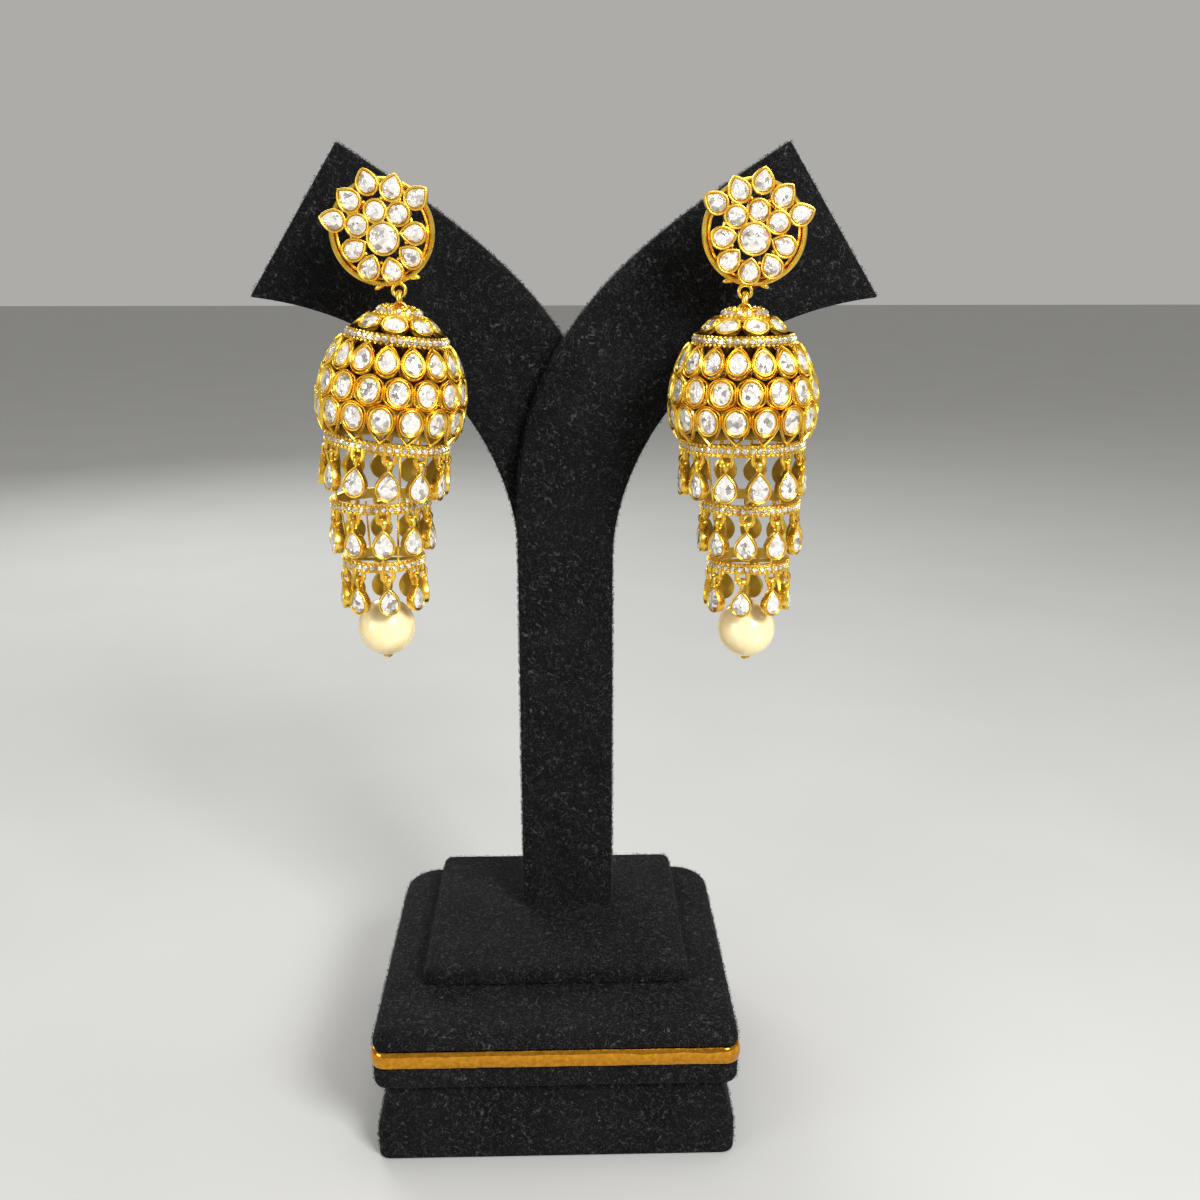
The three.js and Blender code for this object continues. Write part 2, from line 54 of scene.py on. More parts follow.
# %% [markdown]
# ## Shapes as whole arrays
# Nearly everything on the earrings is a wire, a bead, a cup or a stone, repeated dozens of times. A
# modifier per copy would be slow, so each shape is a set of numpy arrays: its points, its four-sided
# faces and its triangles. Copies are then one multiplication of arrays, and a whole earring tier
# becomes one mesh.

# %% Shapes: points, quads and triangles
def shape(verts, quads=(), tris=()):
    """A shape is its points in millimetres, its four-sided faces and its triangles."""
    return {
        "verts": np.asarray(verts, float).reshape(-1, 3),
        "quads": np.asarray(quads, int).reshape(-1, 4),
        "tris": np.asarray(tris, int).reshape(-1, 3),
    }


def triangles(made):
    """Each four-sided face is cut into two triangles, and the triangles are kept."""
    quads = made["quads"]
    return np.concatenate([quads[:, [0, 1, 2]], quads[:, [0, 2, 3]], made["tris"]])


def outward(made):
    """Turns the faces round if the shape is inside out, that is, if its signed volume is negative:
    a sixth of the sum of a . (b x c) over its triangles."""
    a, b, c = np.moveaxis(made["verts"][triangles(made)], 1, 0)
    if np.einsum("ij,ij->", a, np.cross(b, c)) < 0:
        return shape(made["verts"], made["quads"][:, ::-1], made["tris"][:, ::-1])
    return made


def lifted(flat, height):
    """Flat points (x, y) all at one height."""
    return np.column_stack([flat, np.full(len(flat), height)])


def extent(made):
    """The shape's size in millimetres along x, y and z."""
    return np.ptp(made["verts"], axis=0).round(1).tolist()


def joined(shapes):
    """Several shapes as one: the faces of each count on from the points before it."""
    starts = np.cumsum([0] + [len(s["verts"]) for s in shapes])
    return shape(
        np.concatenate([s["verts"] for s in shapes]),
        np.concatenate([s["quads"] + start for s, start in zip(shapes, starts)]),
        np.concatenate([s["tris"] + start for s, start in zip(shapes, starts)]),
    )


def skin(points, ring=False):
    """A grid of points (row, column, xyz) as a closed skin. Columns wrap round. Rows wrap too on a
    ring; otherwise each end row is closed by a fan of triangles to its mean point."""
    rows, columns = points.shape[:2]
    index = np.arange(rows * columns).reshape(rows, columns)
    near = index if ring else index[:-1]
    far = np.roll(index, -1, axis=0) if ring else index[1:]
    quads = np.stack([near, np.roll(near, -1, 1), np.roll(far, -1, 1), far], -1)
    if ring:
        return outward(shape(points, quads))
    ends = []
    for row, middle in ((index[0], rows * columns), (index[-1], rows * columns + 1)):
        fan = np.stack([np.full(columns, middle), row, np.roll(row, -1)], -1)
        ends.append(fan[:, ::-1] if middle == rows * columns else fan)
    verts = np.concatenate([points.reshape(-1, 3), points[[0, -1]].mean(axis=1)])
    return outward(shape(verts, quads, np.concatenate(ends)))


cube_rows = np.array([[(1, 1, z), (-1, 1, z), (-1, -1, z), (1, -1, z)] for z in (0, 2)], float)
print("a box of two rows has", len(triangles(skin(cube_rows))), "triangles")

# %% [markdown]
# ### Copies
# A copy is the shape's points times a frame of three directions, plus a place. All the copies of a
# shape are one multiplication.

# %% Copies of a shape
def copies(made, places, frames=None, sizes=1.0):
    """One shape many times: each point (x, y, z) lands at place + size * (x*across + y*up + z*out),
    where the three rows of a frame are across, up and out."""
    places = np.asarray(places, float).reshape(-1, 3)
    count = len(places)
    if frames is None:
        frames = np.broadcast_to(np.eye(3), (count, 3, 3))
    sizes = np.broadcast_to(sizes, (count,))
    verts = places[:, None] + np.einsum("vk,nkj,n->nvj", made["verts"], frames, sizes)
    start = np.arange(count)[:, None, None] * len(made["verts"])
    return shape(verts, made["quads"][None] + start, made["tris"][None] + start)


def around(made, count, first=0.0):
    """Copies turned about the vertical axis in equal steps; `first` is the first one's angle in
    degrees from the front, towards the right."""
    turn = np.radians(first) + 2 * np.pi * np.arange(count) / count
    zero, one = np.zeros(count), np.ones(count)
    across = np.stack([np.cos(turn), np.sin(turn), zero], -1)
    back = np.stack([-np.sin(turn), np.cos(turn), zero], -1)
    frames = np.stack([across, back, np.stack([zero, zero, one], -1)], 1)
    return copies(made, np.zeros((count, 3)), frames)


def moved(made, place, frame_rows=None):
    """One copy at a place, turned by a frame whose rows are across, up and out."""
    rows = np.eye(3) if frame_rows is None else np.asarray(frame_rows, float)
    return copies(made, [place], rows[None])


# Across stays across, up becomes +Z and out becomes -Y: how a flat piece faces the viewer
FACING = np.array([[1, 0, 0], [0, 0, 1], [0, -1, 0]], float)
print("six boxes have", len(triangles(around(skin(cube_rows), 6))), "triangles")

# %% [markdown]
# ### Wires, beads and turned rings
# A jeweller's stock is round wire, grains and rings. Wire is an ellipse carried along a path, a bead is
# a coarse sphere, because it is only a few pixels wide, and a ring is a profile turned about an axis.

# %% Wires, beads and turned rings
def unit(vectors):
    """Vectors divided by their lengths."""
    return vectors / np.linalg.norm(vectors, axis=-1, keepdims=True)


def tube(path, thick, normal, wide=None, sides=6, ring=False):
    """A wire. At each path point stands an ellipse square to the path: `wide` along `normal` and
    `thick` along the direction square to both the path and `normal`."""
    path = np.asarray(path, float)
    ahead = np.roll(path, -1, 0) - np.roll(path, 1, 0) if ring else np.gradient(path, axis=0)
    normal = np.broadcast_to(np.asarray(normal, float), path.shape)
    side = unit(np.cross(unit(ahead), normal))
    angle = np.linspace(0, 2 * np.pi, sides, endpoint=False) + np.pi / sides
    wide = thick if wide is None else wide
    thick = np.broadcast_to(thick, len(path))[:, None, None]
    wide = np.broadcast_to(wide, len(path))[:, None, None]
    sideways = thick * side[:, None] * np.cos(angle)[:, None]
    outwards = wide * normal[:, None] * np.sin(angle)[:, None]
    return skin(path[:, None] + (sideways + outwards), ring)


def hoop(radius, wire, steps=40, sides=8, from_angle=0.0, sweep=360.0):
    """A ring of wire in the XY plane, or an arc of one: (r cos t, r sin t)."""
    whole = sweep >= 360.0
    t = np.radians(from_angle + np.linspace(0, sweep, steps, endpoint=not whole))
    path = np.stack([radius * np.cos(t), radius * np.sin(t), np.zeros(steps)], -1)
    return tube(path, wire, (0, 0, 1), sides=sides, ring=whole)


def ball(radius, sides=6, rows=4, squash=1.0):
    """A sphere by its two angles: (r sin v cos u, r sin v sin u, r cos v)."""
    v = np.linspace(0, np.pi, rows + 1)[1:-1, None]
    u = np.linspace(0, 2 * np.pi, sides, endpoint=False)[None]
    x, y = np.sin(v) * np.cos(u), np.sin(v) * np.sin(u)
    grid = radius * np.stack([x, y, squash * np.cos(v) + 0 * u], -1)
    made = skin(grid)
    made["verts"][-2:] = [[0, 0, squash * radius], [0, 0, -squash * radius]]
    return outward(made)


def turned(profile, steps=64):
    """A closed profile of (radius, height) points carried round the vertical axis."""
    profile = np.asarray(profile, float)
    angle = np.linspace(0, 2 * np.pi, steps, endpoint=False)[:, None]
    radius, height = profile[None, :, 0], profile[None, :, 1]
    points = np.stack([radius * np.sin(angle), -radius * np.cos(angle), height + 0 * angle], -1)
    return skin(points, ring=True)


print("a bead has", len(triangles(ball(0.25))), "triangles, a ring", len(triangles(hoop(1, 0.2))))

# %% [markdown]
# ### From a shape to a Blender object
# Each piece is one mesh with one material. It sits at the origin with its place in its mesh, rides on a
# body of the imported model, and stands for the plain solids that it replaces.

# %% Put a shape into a Blender object
def make_piece(name, made, material, body, stands_for=(), smooth=True, crease=40):
    """The shape's arrays go into a mesh in metres. Smooth faces stay sharp where they meet at more
    than `crease` degrees."""
    mesh = bpy.data.meshes.new(name)
    faces = made["quads"].tolist() + made["tris"].tolist()
    mesh.from_pydata((made["verts"] * MM).tolist(), [], faces)
    mesh.polygons.foreach_set("use_smooth", [smooth] * len(mesh.polygons))
    if smooth:
        mesh.set_sharp_from_angle(angle=math.radians(crease))
    mesh.materials.append(material)
    mesh.update()
    piece = bpy.data.objects.new(name, mesh)
    bpy.context.scene.collection.objects.link(piece)
    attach(piece, body)
    if stands_for:
        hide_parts(*stands_for)
    print(name, len(triangles(made)), "triangles")
    return piece

# %% [markdown]
# ## Finishes
# Each finish is a small network of nodes on the Principled shader. The colours are read off as sRGB
# hex values, and Cycles works in linear light, so one function converts them. Patterns read Object
# coordinates, which are metres here, so a pattern with a 0.5 mm grain has a scale of about 2000.

# %% Colours and nodes
def linear(code):
    """sRGB hex to linear: under 0.04045 divided by 12.92, above that ((c + 0.055) / 1.055) to 2.4."""
    value = np.array([int(code[i : i + 2], 16) for i in (1, 3, 5)]) / 255
    low, high = value / 12.92, ((value + 0.055) / 1.055) ** 2.4
    return (*np.where(value <= 0.04045, low, high).tolist(), 1.0)


def per_mm(size):
    """The texture scale, in metres, that gives a grain of this size in millimetres."""
    return 1.0 / (size * MM)


def feed(tree, node, inputs):
    """Each input takes a value of its own or another node's output."""
    for name, value in inputs.items():
        if isinstance(value, bpy.types.NodeSocket):
            tree.links.new(value, node.inputs[name])
        else:
            node.inputs[name].default_value = value


def add(tree, kind, inputs=None, stops=None, **settings):
    """Adds one node. Inputs are values or other nodes' outputs, stops are a colour ramp's places with
    their hex colours, and settings are the node's own choices."""
    made = tree.nodes.new(kind)
    for name, value in settings.items():
        setattr(made, name, value)
    for number, (position, code) in enumerate((stops or {}).items()):
        made.color_ramp.elements[number].position = position
        made.color_ramp.elements[number].color = linear(code)
    feed(tree, made, inputs or {})
    return made


def new_finish(name):
    """An empty material with its Principled shader and the Object coordinates."""
    material = bpy.data.materials.new(name)
    material.use_nodes = True
    tree = material.node_tree
    shader = tree.nodes["Principled BSDF"]
    place = add(tree, "ShaderNodeTexCoord").outputs["Object"]
    return material, tree, shader, place


# Where the Mix node keeps its factor, its two colours and the mixed colour
MIX_FACTOR, MIX_UNDER, MIX_OVER, MIX_RESULT = 0, 6, 7, 2
print("mid grey #808080 is", round(linear("#808080")[0], 3), "in linear light")

# %% [markdown]
# ### Gold plating
# The earrings are brass wire and sheet, soldered, then plated in a warm yellow gold. Plating is a
# metal, so its colour is all in the reflection. The plating bath leaves it a little redder in patches
# of about 2 mm, and a grain of about 0.35 mm softens the shine. A polishing wheel doesn't reach the
# recesses between the settings or the inside of a bell, so they are rougher; their dark brown is
# painted shade, which draws every rim. A mesh attribute, `inside`, says how deep a point lies.

# %% Gold plating on brass
def plated_gold():
    material, tree, shader, place = new_finish("satin_gold_plating")
    patch = add(tree, "ShaderNodeTexNoise", {"Vector": place, "Scale": per_mm(2.0), "Detail": 3.0})
    grain = add(tree, "ShaderNodeTexNoise", {"Vector": place, "Scale": per_mm(0.35), "Detail": 2.0})
    inside = add(tree, "ShaderNodeAttribute", attribute_name="inside").outputs["Fac"]
    tones = {0.35: "#F0BE40", 0.62: "#FFDC62"}
    ramp = add(tree, "ShaderNodeValToRGB", {"Fac": patch.outputs["Fac"]}, tones)
    outer = ramp.outputs["Color"]
    # Painted shade: where `inside` is high, the gold's colour turns to the dark brown #4A300C
    tones = {MIX_FACTOR: inside, MIX_UNDER: outer, MIX_OVER: linear("#4A300C")}
    colour = add(tree, "ShaderNodeMix", tones, data_type="RGBA").outputs[MIX_RESULT]
    grey = grain.outputs["Fac"]
    polish = add(tree, "ShaderNodeMapRange", {"Value": grey, "To Min": 0.2, "To Max": 0.36})
    duller = {0: inside, 1: 0.35, 2: polish.outputs["Result"]}
    rough = add(tree, "ShaderNodeMath", duller, operation="MULTIPLY_ADD")
    bump = add(tree, "ShaderNodeBump", {"Height": grey, "Strength": 0.25, "Distance": 0.04 * MM})
    feed(tree, shader, {"Base Color": colour, "Roughness": rough.outputs["Value"]})
    feed(tree, shader, {"Normal": bump.outputs["Normal"], "Metallic": 1.0})
    return material


gold = plated_gold()
print(gold.name, "has", len(gold.node_tree.nodes), "nodes")

# %% [markdown]
# ### Gold strip
# The strip round the base is thin polished foil over a moulding. It is almost a mirror, and it was
# pressed on by hand, so it dips and swells every few millimetres. That is what breaks its highlight.

# %% Polished foil strip
def polished_strip():
    material, tree, shader, place = new_finish("polished_gold_foil")
    swell = add(tree, "ShaderNodeTexNoise", {"Vector": place, "Scale": per_mm(6.0), "Detail": 2.0})
    scuff = add(tree, "ShaderNodeTexNoise", {"Vector": place, "Scale": per_mm(0.8), "Detail": 4.0})
    tones = {0.3: "#BE7C1C", 0.7: "#E6A436"}
    ramp = add(tree, "ShaderNodeValToRGB", {"Fac": scuff.outputs["Fac"]}, tones)
    colour = ramp.outputs["Color"]
    shine = {"Value": scuff.outputs["Fac"], "To Min": 0.03, "To Max": 0.12}
    rough = add(tree, "ShaderNodeMapRange", shine)
    dips = {"Height": swell.outputs["Fac"], "Strength": 0.6, "Distance": 0.8 * MM}
    bump = add(tree, "ShaderNodeBump", dips)
    feed(tree, shader, {"Base Color": colour, "Roughness": rough.outputs["Result"]})
    feed(tree, shader, {"Normal": bump.outputs["Normal"], "Metallic": 1.0})
    return material


strip_gold = polished_strip()
print(strip_gold.name, "has", len(strip_gold.node_tree.nodes), "nodes")

# %% [markdown]
# ### Foil-backed stones
# The white stones are flat-cut glass set on silver foil, as kundan work is. Light goes through the
# glass and comes back off the creased foil, so a stone looks silvery white with small grey patches. A
# clear glass over foil needs many light bounces. Here a pale, half-metallic body carries the creases
# as cells about 0.8 mm across, each with a grey of its own, under a clear coat with the gloss of glass.

# %% Flat-cut stones on foil
def foil_stone():
    material, tree, shader, place = new_finish("flat_cut_glass_on_foil")
    crease = add(tree, "ShaderNodeTexVoronoi", {"Vector": place, "Scale": per_mm(0.8)})
    grey = add(tree, "ShaderNodeSeparateColor", {"Color": crease.outputs["Color"]})
    tones = {0.55: "#FAF5EE", 1.0: "#958C85"}
    ramp = add(tree, "ShaderNodeValToRGB", {"Fac": grey.outputs["Red"]}, tones)
    colour = ramp.outputs["Color"]
    dents = {"Height": crease.outputs["Distance"], "Strength": 0.45, "Distance": 0.4 * MM}
    bump = add(tree, "ShaderNodeBump", dents)
    feed(tree, shader, {"Base Color": colour, "Normal": bump.outputs["Normal"]})
    feed(tree, shader, {"Metallic": 0.5, "Roughness": 0.14, "IOR": 1.52})
    feed(tree, shader, {"Coat Weight": 1.0, "Coat Roughness": 0.03})
    return material


stone_finish = foil_stone()
print(stone_finish.name, "has", len(stone_finish.node_tree.nodes), "nodes")

# %% [markdown]
# ### Rhinestones
# The bands are paved with cut crystals of about 1 mm, silvered behind. Such a crystal is bright and
# hard-edged, its facets glinting with darker seams between them, so a painted glint and painted shade
# follow cells of half its width: near white in their middles and grey towards their edges.

# %% Silvered crystals
def rhinestone():
    material, tree, shader, place = new_finish("silvered_rhinestone")
    spark = add(tree, "ShaderNodeTexVoronoi", {"Vector": place, "Scale": per_mm(0.5)})
    # Painted glints and shade: near white at each cell's middle, grey #ACA398 towards its edge
    tones = {0.2: "#FFFBF2", 0.65: "#ACA398"}
    ramp = add(tree, "ShaderNodeValToRGB", {"Fac": spark.outputs["Distance"]}, tones)
    colour = ramp.outputs["Color"]
    feed(tree, shader, {"Base Color": colour, "Metallic": 0.4, "Roughness": 0.1, "IOR": 1.55})
    feed(tree, shader, {"Coat Weight": 1.0, "Coat Roughness": 0.02})
    return material


gem_finish = rhinestone()
print(gem_finish.name, "has", len(gem_finish.node_tree.nodes), "nodes")

# %% [markdown]
# ### Imitation pearl
# An imitation pearl is a bead dipped in many thin coats of pearl lacquer. It shines softly, almost
# white where it faces the light and warmer towards its rim. A tinted coat gives the lacquer, because
# light that meets it at a slant goes a longer way through it, and a little subsurface light makes the
# bead glow. The lacquer clouds slightly over about 1.5 mm.

# %% Pearl lacquer
def pearl_lacquer():
    material, tree, shader, place = new_finish("pearl_lacquer")
    cloud = add(tree, "ShaderNodeTexNoise", {"Vector": place, "Scale": per_mm(1.5), "Detail": 3.0})
    tones = {0.35: "#FFF3D0", 0.65: "#F8E8BE"}
    ramp = add(tree, "ShaderNodeValToRGB", {"Fac": cloud.outputs["Fac"]}, tones)
    colour = ramp.outputs["Color"]
    gloss = {"Value": cloud.outputs["Fac"], "To Min": 0.2, "To Max": 0.34}
    rough = add(tree, "ShaderNodeMapRange", gloss)
    feed(tree, shader, {"Base Color": colour, "Roughness": rough.outputs["Result"], "IOR": 1.6})
    feed(tree, shader, {"Coat Weight": 0.8, "Coat Roughness": 0.05, "Coat Tint": linear("#FFF6DC")})
    feed(tree, shader, {"Subsurface Weight": 0.15, "Subsurface Scale": 1.5 * MM, "Sheen Weight": 0.1})
    return material


pearl_finish = pearl_lacquer()
print(pearl_finish.name, "has", len(pearl_finish.node_tree.nodes), "nodes")

# %% [markdown]
# ### Velvet
# The stand is board wrapped in black velvet with a short pile that curls. The ground is nearly black,
# and the light that single fibres on it catch is painted as thin grey squiggles, a painted sheen. The
# places where a smooth noise crosses its middle value are just such winding lines, so a narrow band
# round 0.5 draws them, and a second noise breaks them up. Real fibres are added below, because they
# also give the fuzzy outline.

# %% Black velvet and its fibres
def squiggles(tree, place, size, thin):
    """Winding lines where a noise of this size in mm is within `thin` of its middle value."""
    grain = {"Vector": place, "Scale": per_mm(size), "Detail": 1.0, "Distortion": 1.2}
    noise = add(tree, "ShaderNodeTexNoise", grain)
    off = add(tree, "ShaderNodeMath", {0: noise.outputs["Fac"], 1: 0.5}, operation="SUBTRACT")
    away = add(tree, "ShaderNodeMath", {0: off.outputs["Value"]}, operation="ABSOLUTE")
    near = {"Value": away.outputs["Value"], "From Max": thin, "To Min": 1.0, "To Max": 0.0}
    return add(tree, "ShaderNodeMapRange", near).outputs["Result"]


def velvet_ground():
    """The nearly black ground with its squiggles of painted sheen, shown in patches."""
    material, tree, shader, place = new_finish("black_velvet")
    coarse = squiggles(tree, place, 1.9, 0.022)
    fine = squiggles(tree, place, 1.3, 0.02)
    both = add(tree, "ShaderNodeMath", {0: coarse, 1: fine}, operation="MAXIMUM")
    patch = {"Vector": place, "Scale": per_mm(0.8), "Detail": 1.0}
    parts = add(tree, "ShaderNodeTexNoise", patch)
    show = {"Value": parts.outputs["Fac"], "From Min": 0.36, "From Max": 0.6}
    shown = add(tree, "ShaderNodeMapRange", show)
    pair = {0: both.outputs["Value"], 1: shown.outputs["Result"]}
    curl = add(tree, "ShaderNodeMath", pair, operation="MULTIPLY").outputs["Value"]
    nap = add(tree, "ShaderNodeTexNoise", {"Vector": place, "Scale": per_mm(9.0), "Detail": 2.0})
    tones = {0.3: "#030303", 0.7: "#0C0C0D"}
    ramp = add(tree, "ShaderNodeValToRGB", {"Fac": nap.outputs["Fac"]}, tones)
    ground = ramp.outputs["Color"]
    # Painted sheen: grey #4C4C4E where the squiggles are, for the light the fibres catch
    tones = {MIX_FACTOR: curl, MIX_UNDER: ground, MIX_OVER: linear("#4C4C4E")}
    colour = add(tree, "ShaderNodeMix", tones, data_type="RGBA").outputs[MIX_RESULT]
    bump = add(tree, "ShaderNodeBump", {"Height": curl, "Strength": 0.9, "Distance": 0.2 * MM})
    feed(tree, shader, {"Base Color": colour, "Normal": bump.outputs["Normal"]})
    feed(tree, shader, {"Roughness": 0.9, "Specular IOR Level": 0.15, "Sheen Weight": 0.03})
    feed(tree, shader, {"Sheen Roughness": 0.4, "Sheen Tint": linear("#8C8C8E")})
    return material


def velvet_fibre():
    """Cotton pile: each curl is lighter than the ground because its side catches the light."""
    material, tree, shader, place = new_finish("velvet_pile")
    tone = add(tree, "ShaderNodeTexNoise", {"Vector": place, "Scale": per_mm(0.9), "Detail": 2.0})
    tones = {0.42: "#080808", 0.72: "#3C3C3E"}
    ramp = add(tree, "ShaderNodeValToRGB", {"Fac": tone.outputs["Fac"]}, tones)
    colour = ramp.outputs["Color"]
    feed(tree, shader, {"Base Color": colour, "Roughness": 0.7, "Specular IOR Level": 0.3})
    feed(tree, shader, {"Sheen Weight": 0.08, "Sheen Roughness": 0.4})
    return material


velvet = velvet_ground()
fibre_finish = velvet_fibre()
print(velvet.name, "has", len(velvet.node_tree.nodes), "nodes")

# %% [markdown]
# ## The stand
# The base is three slabs with rounded edges, one on the other, and the post is two boards of one
# shape, mirrored, one behind the other. A slab is a stack of rounded rectangles, each drawn in by an
# inset at its height, so its whole outline comes from one small table. The bends of the boards are
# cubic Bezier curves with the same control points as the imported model.

# %% A rounded slab
BASE_X = -2.2  # the base stands a little to the left of the post


def rounded_rectangle(width, depth, corner, back_corner, steps=10):
    """Points round a rectangle whose corners are quarter circles: corner centre + r (cos t, sin t).
    The back corners may have another radius than the front ones."""
    points = []
    for sign_x, sign_y, start in ((1, 1, 0), (-1, 1, 90), (-1, -1, 180), (1, -1, 270)):
        radius = back_corner if sign_y > 0 else corner
        t = np.radians(start + np.linspace(0, 90, steps))
        centre = (sign_x * (width / 2 - radius), sign_y * (depth / 2 - radius))
        points.append(np.stack([centre[0] + radius * np.cos(t), centre[1] + radius * np.sin(t)], -1))
    return np.concatenate(points)


def slab(width, depth, corner, back_corner, levels, centre_y=0.0):
    """Rounded rectangles stacked into a closed skin; each level is (inset, height)."""
    rows = []
    for inset, height in levels:
        corners = [max(radius - inset, 0.5) for radius in (corner, back_corner)]
        ring = rounded_rectangle(width - 2 * inset, depth - 2 * inset, *corners)
        rows.append(lifted(ring + (BASE_X, centre_y), height))
    return skin(np.stack(rows))


ROUNDING = np.radians(np.linspace(0, 90, 7))


def rounded_foot(radius, low):
    """(inset, height) pairs up a quarter round: (r (1 - sin t), low + r (1 - cos t))."""
    return list(zip(radius * (1 - np.sin(ROUNDING)), low + radius * (1 - np.cos(ROUNDING))))


def rounded_top(radius, high):
    """(inset, height) pairs up a quarter round: (r (1 - cos t), high - r + r sin t)."""
    return list(zip(radius * (1 - np.cos(ROUNDING)), high - radius + radius * np.sin(ROUNDING)))


# Width, depth, front corners and back corners of each slab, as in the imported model
PLINTH = (61.8, 61.0, 2.2, 2.2)
PLATE = (62.4, 61.6, 2.4, 7.0)
STEP = (47.2, 45.4, 1.8, 1.8)
PLATE_FOOT, PLATE_TOP = 13.9, 24.7
STRIP_LOW, STRIP_HIGH = 18.1, 21.4
STEP_FOOT, STEP_TOP = 25.0, 28.0
STEP_Y = 29.2 - STEP[1] / 2  # its back edge is at 29.2

splayed = [(0, 3), (0, 5.6), (0.15, 6.3), (0.8, 7.9), (1.5, 10.6), (2.0, 13.1), (2.2, 13.6)]
plinth = slab(*PLINTH, rounded_foot(0.6, 0) + splayed)
groove = [
    (0, STRIP_LOW - 0.5), (0.12, STRIP_LOW - 0.2), (0.8, STRIP_LOW),
    (0.8, STRIP_HIGH), (0.12, STRIP_HIGH + 0.2), (0, STRIP_HIGH + 0.5),
]
plate = slab(*PLATE, rounded_foot(1.4, PLATE_FOOT) + groove + rounded_top(2.2, PLATE_TOP))
step = slab(*STEP, rounded_foot(0.5, STEP_FOOT) + rounded_top(1.1, STEP_TOP), STEP_Y)
for name, made in (("plinth", plinth), ("plate", plate), ("step", step)):
    print(name, "is", extent(made), "mm")

# %% [markdown]
# ### The strip round the plate
# The strip is foil over a moulding: it stands 0.45 mm proud of the plate in its middle, and both its
# edges are tucked into a groove of the velvet, which gives it a dark line above and below.

# %% A bulged strip
STRIP_HEIGHT = STRIP_HIGH - STRIP_LOW


def strip():
    """A profile of (proud, height), a half circle's bulge and a flat back, carried round the plate."""
    t = np.linspace(0, np.pi, 11)
    bulge = zip(0.6 * np.sin(t) - 0.15, STRIP_HEIGHT * (1 - np.cos(t)) / 2)
    outside = [(-0.5, 0.0), *bulge, (-0.5, STRIP_HEIGHT)]
    back = [(-0.6, STRIP_HEIGHT - 0.1), (-0.6, 0.1)]
    width, depth, corner, back_corner = PLATE
    rows = []
    for proud, height in outside + back:
        size = (width + 2 * proud, depth + 2 * proud, corner + proud, back_corner + proud)
        ring = rounded_rectangle(*size, 14)
        rows.append(lifted(ring + (BASE_X, 0), STRIP_LOW + height))
    return skin(np.swapaxes(np.stack(rows), 0, 1), ring=True)


print("the strip is", round(STRIP_HEIGHT, 1), "mm high")

# %% [markdown]
# ### The two boards
# Each board is half the thickness of the post and carries one arm. Its two edges run straight up the
# post and bend out into the arm, and a flat section with rounded edges goes across between them.

# %% A board that is half the post and one arm
PLY, POST_HALF, POST_FRONT, BOARD_GAP = 3.6, 8.6, 7.0, 0.3
INNER_BEND, OUTER_BEND = 105.0, 97.6  # where each edge leaves the post
ARM_TIP, ARM_END = np.array([38.1, 169.5]), np.array([54.2, 144.0])


def bezier(a, b, c, d, t):
    """The cubic curve (1-t)^3 a + 3 (1-t)^2 t b + 3 (1-t) t^2 c + t^3 d."""
    a, b, c, d = (np.asarray(p, float)[None] for p in (a, b, c, d))
    t = t[:, None]
    return (1 - t) ** 3 * a + 3 * (1 - t) ** 2 * t * b + 3 * (1 - t) * t**2 * c + t**3 * d


def board_edges(side):
    """The inner and the outer edge of one board, from the foot of the post to the end of its arm."""
    t = np.linspace(0, 1, 56)
    inner_foot, outer_foot = (-POST_HALF, STEP_FOOT), (POST_HALF, STEP_FOOT)
    inner_start, outer_start = (-POST_HALF, INNER_BEND), (POST_HALF, OUTER_BEND)
    inner_bend = bezier(inner_start, (-POST_HALF, 138.2), ARM_TIP - (26.6, 16.8), ARM_TIP, t)
    outer_bend = bezier(outer_start, (POST_HALF, 112.9), ARM_END - (33.8, 4.1), ARM_END, t)
    up = np.linspace(0, 1, 12, endpoint=False)[:, None]
    inner = np.concatenate([(1 - up) * inner_foot + up * inner_start, inner_bend])
    outer = np.concatenate([(1 - up) * outer_foot + up * outer_start, outer_bend])
    return inner * (side, 1), outer * (side, 1)


def board(side, front):
    """Across each line from the inner to the outer edge goes a flat section whose edges are quarter
    circles of radius `soft`: inset soft (1 - sin t), depth soft (1 - cos t)."""
    inner, outer = board_edges(side)
    t = np.radians(np.linspace(0, 90, 5))
    soft = 0.5
    inset = soft * (1 - np.sin(t))
    depth = soft * (1 - np.cos(t))
    share = np.linspace(0, 1, 9)[1:-1]
    level, near, far = np.zeros(len(share)), np.zeros(len(t)), np.ones(len(t))
    in_mm = np.concatenate([inset[::-1], level, -inset, -inset[::-1], level, inset])
    at = np.concatenate([near, share, far, far, share[::-1], near])
    y = np.concatenate([depth[::-1], level, depth, PLY - depth[::-1], level + PLY, PLY - depth])
    across = outer - inner
    flat = inner[:, None] + across[:, None] * at[None, :, None]
    flat = flat + unit(across)[:, None] * in_mm[None, :, None]
    rows = np.stack([flat[..., 0], np.broadcast_to(front + y, flat.shape[:2]), flat[..., 1]], -1)
    # One more row past the end of the arm, a little flatter and 0.3 mm on, rounds the end
    end = rows[-1:].copy()
    ahead = unit(inner[-1:] - inner[-2:-1])[0]
    end[..., 1] = front + PLY / 2 + (end[..., 1] - front - PLY / 2) * 0.8
    end[..., [0, 2]] += ahead * 0.3
    return skin(np.concatenate([rows, end]))


REAR_FRONT = POST_FRONT + PLY + BOARD_GAP
right_arm = board(1, POST_FRONT)
left_arm = board(-1, REAR_FRONT)
print("a board with its arm is", extent(right_arm), "mm")

# %% [markdown]
# ### Velvet pile
# Loose curls stand up from the cloth all over. A hair system would give them, but the export wants
# meshes, so each fibre is a bent spindle of six triangles: a root, a three-cornered waist pushed
# sideways and a tip. Roots are scattered evenly over a piece's triangles with a fixed seed.

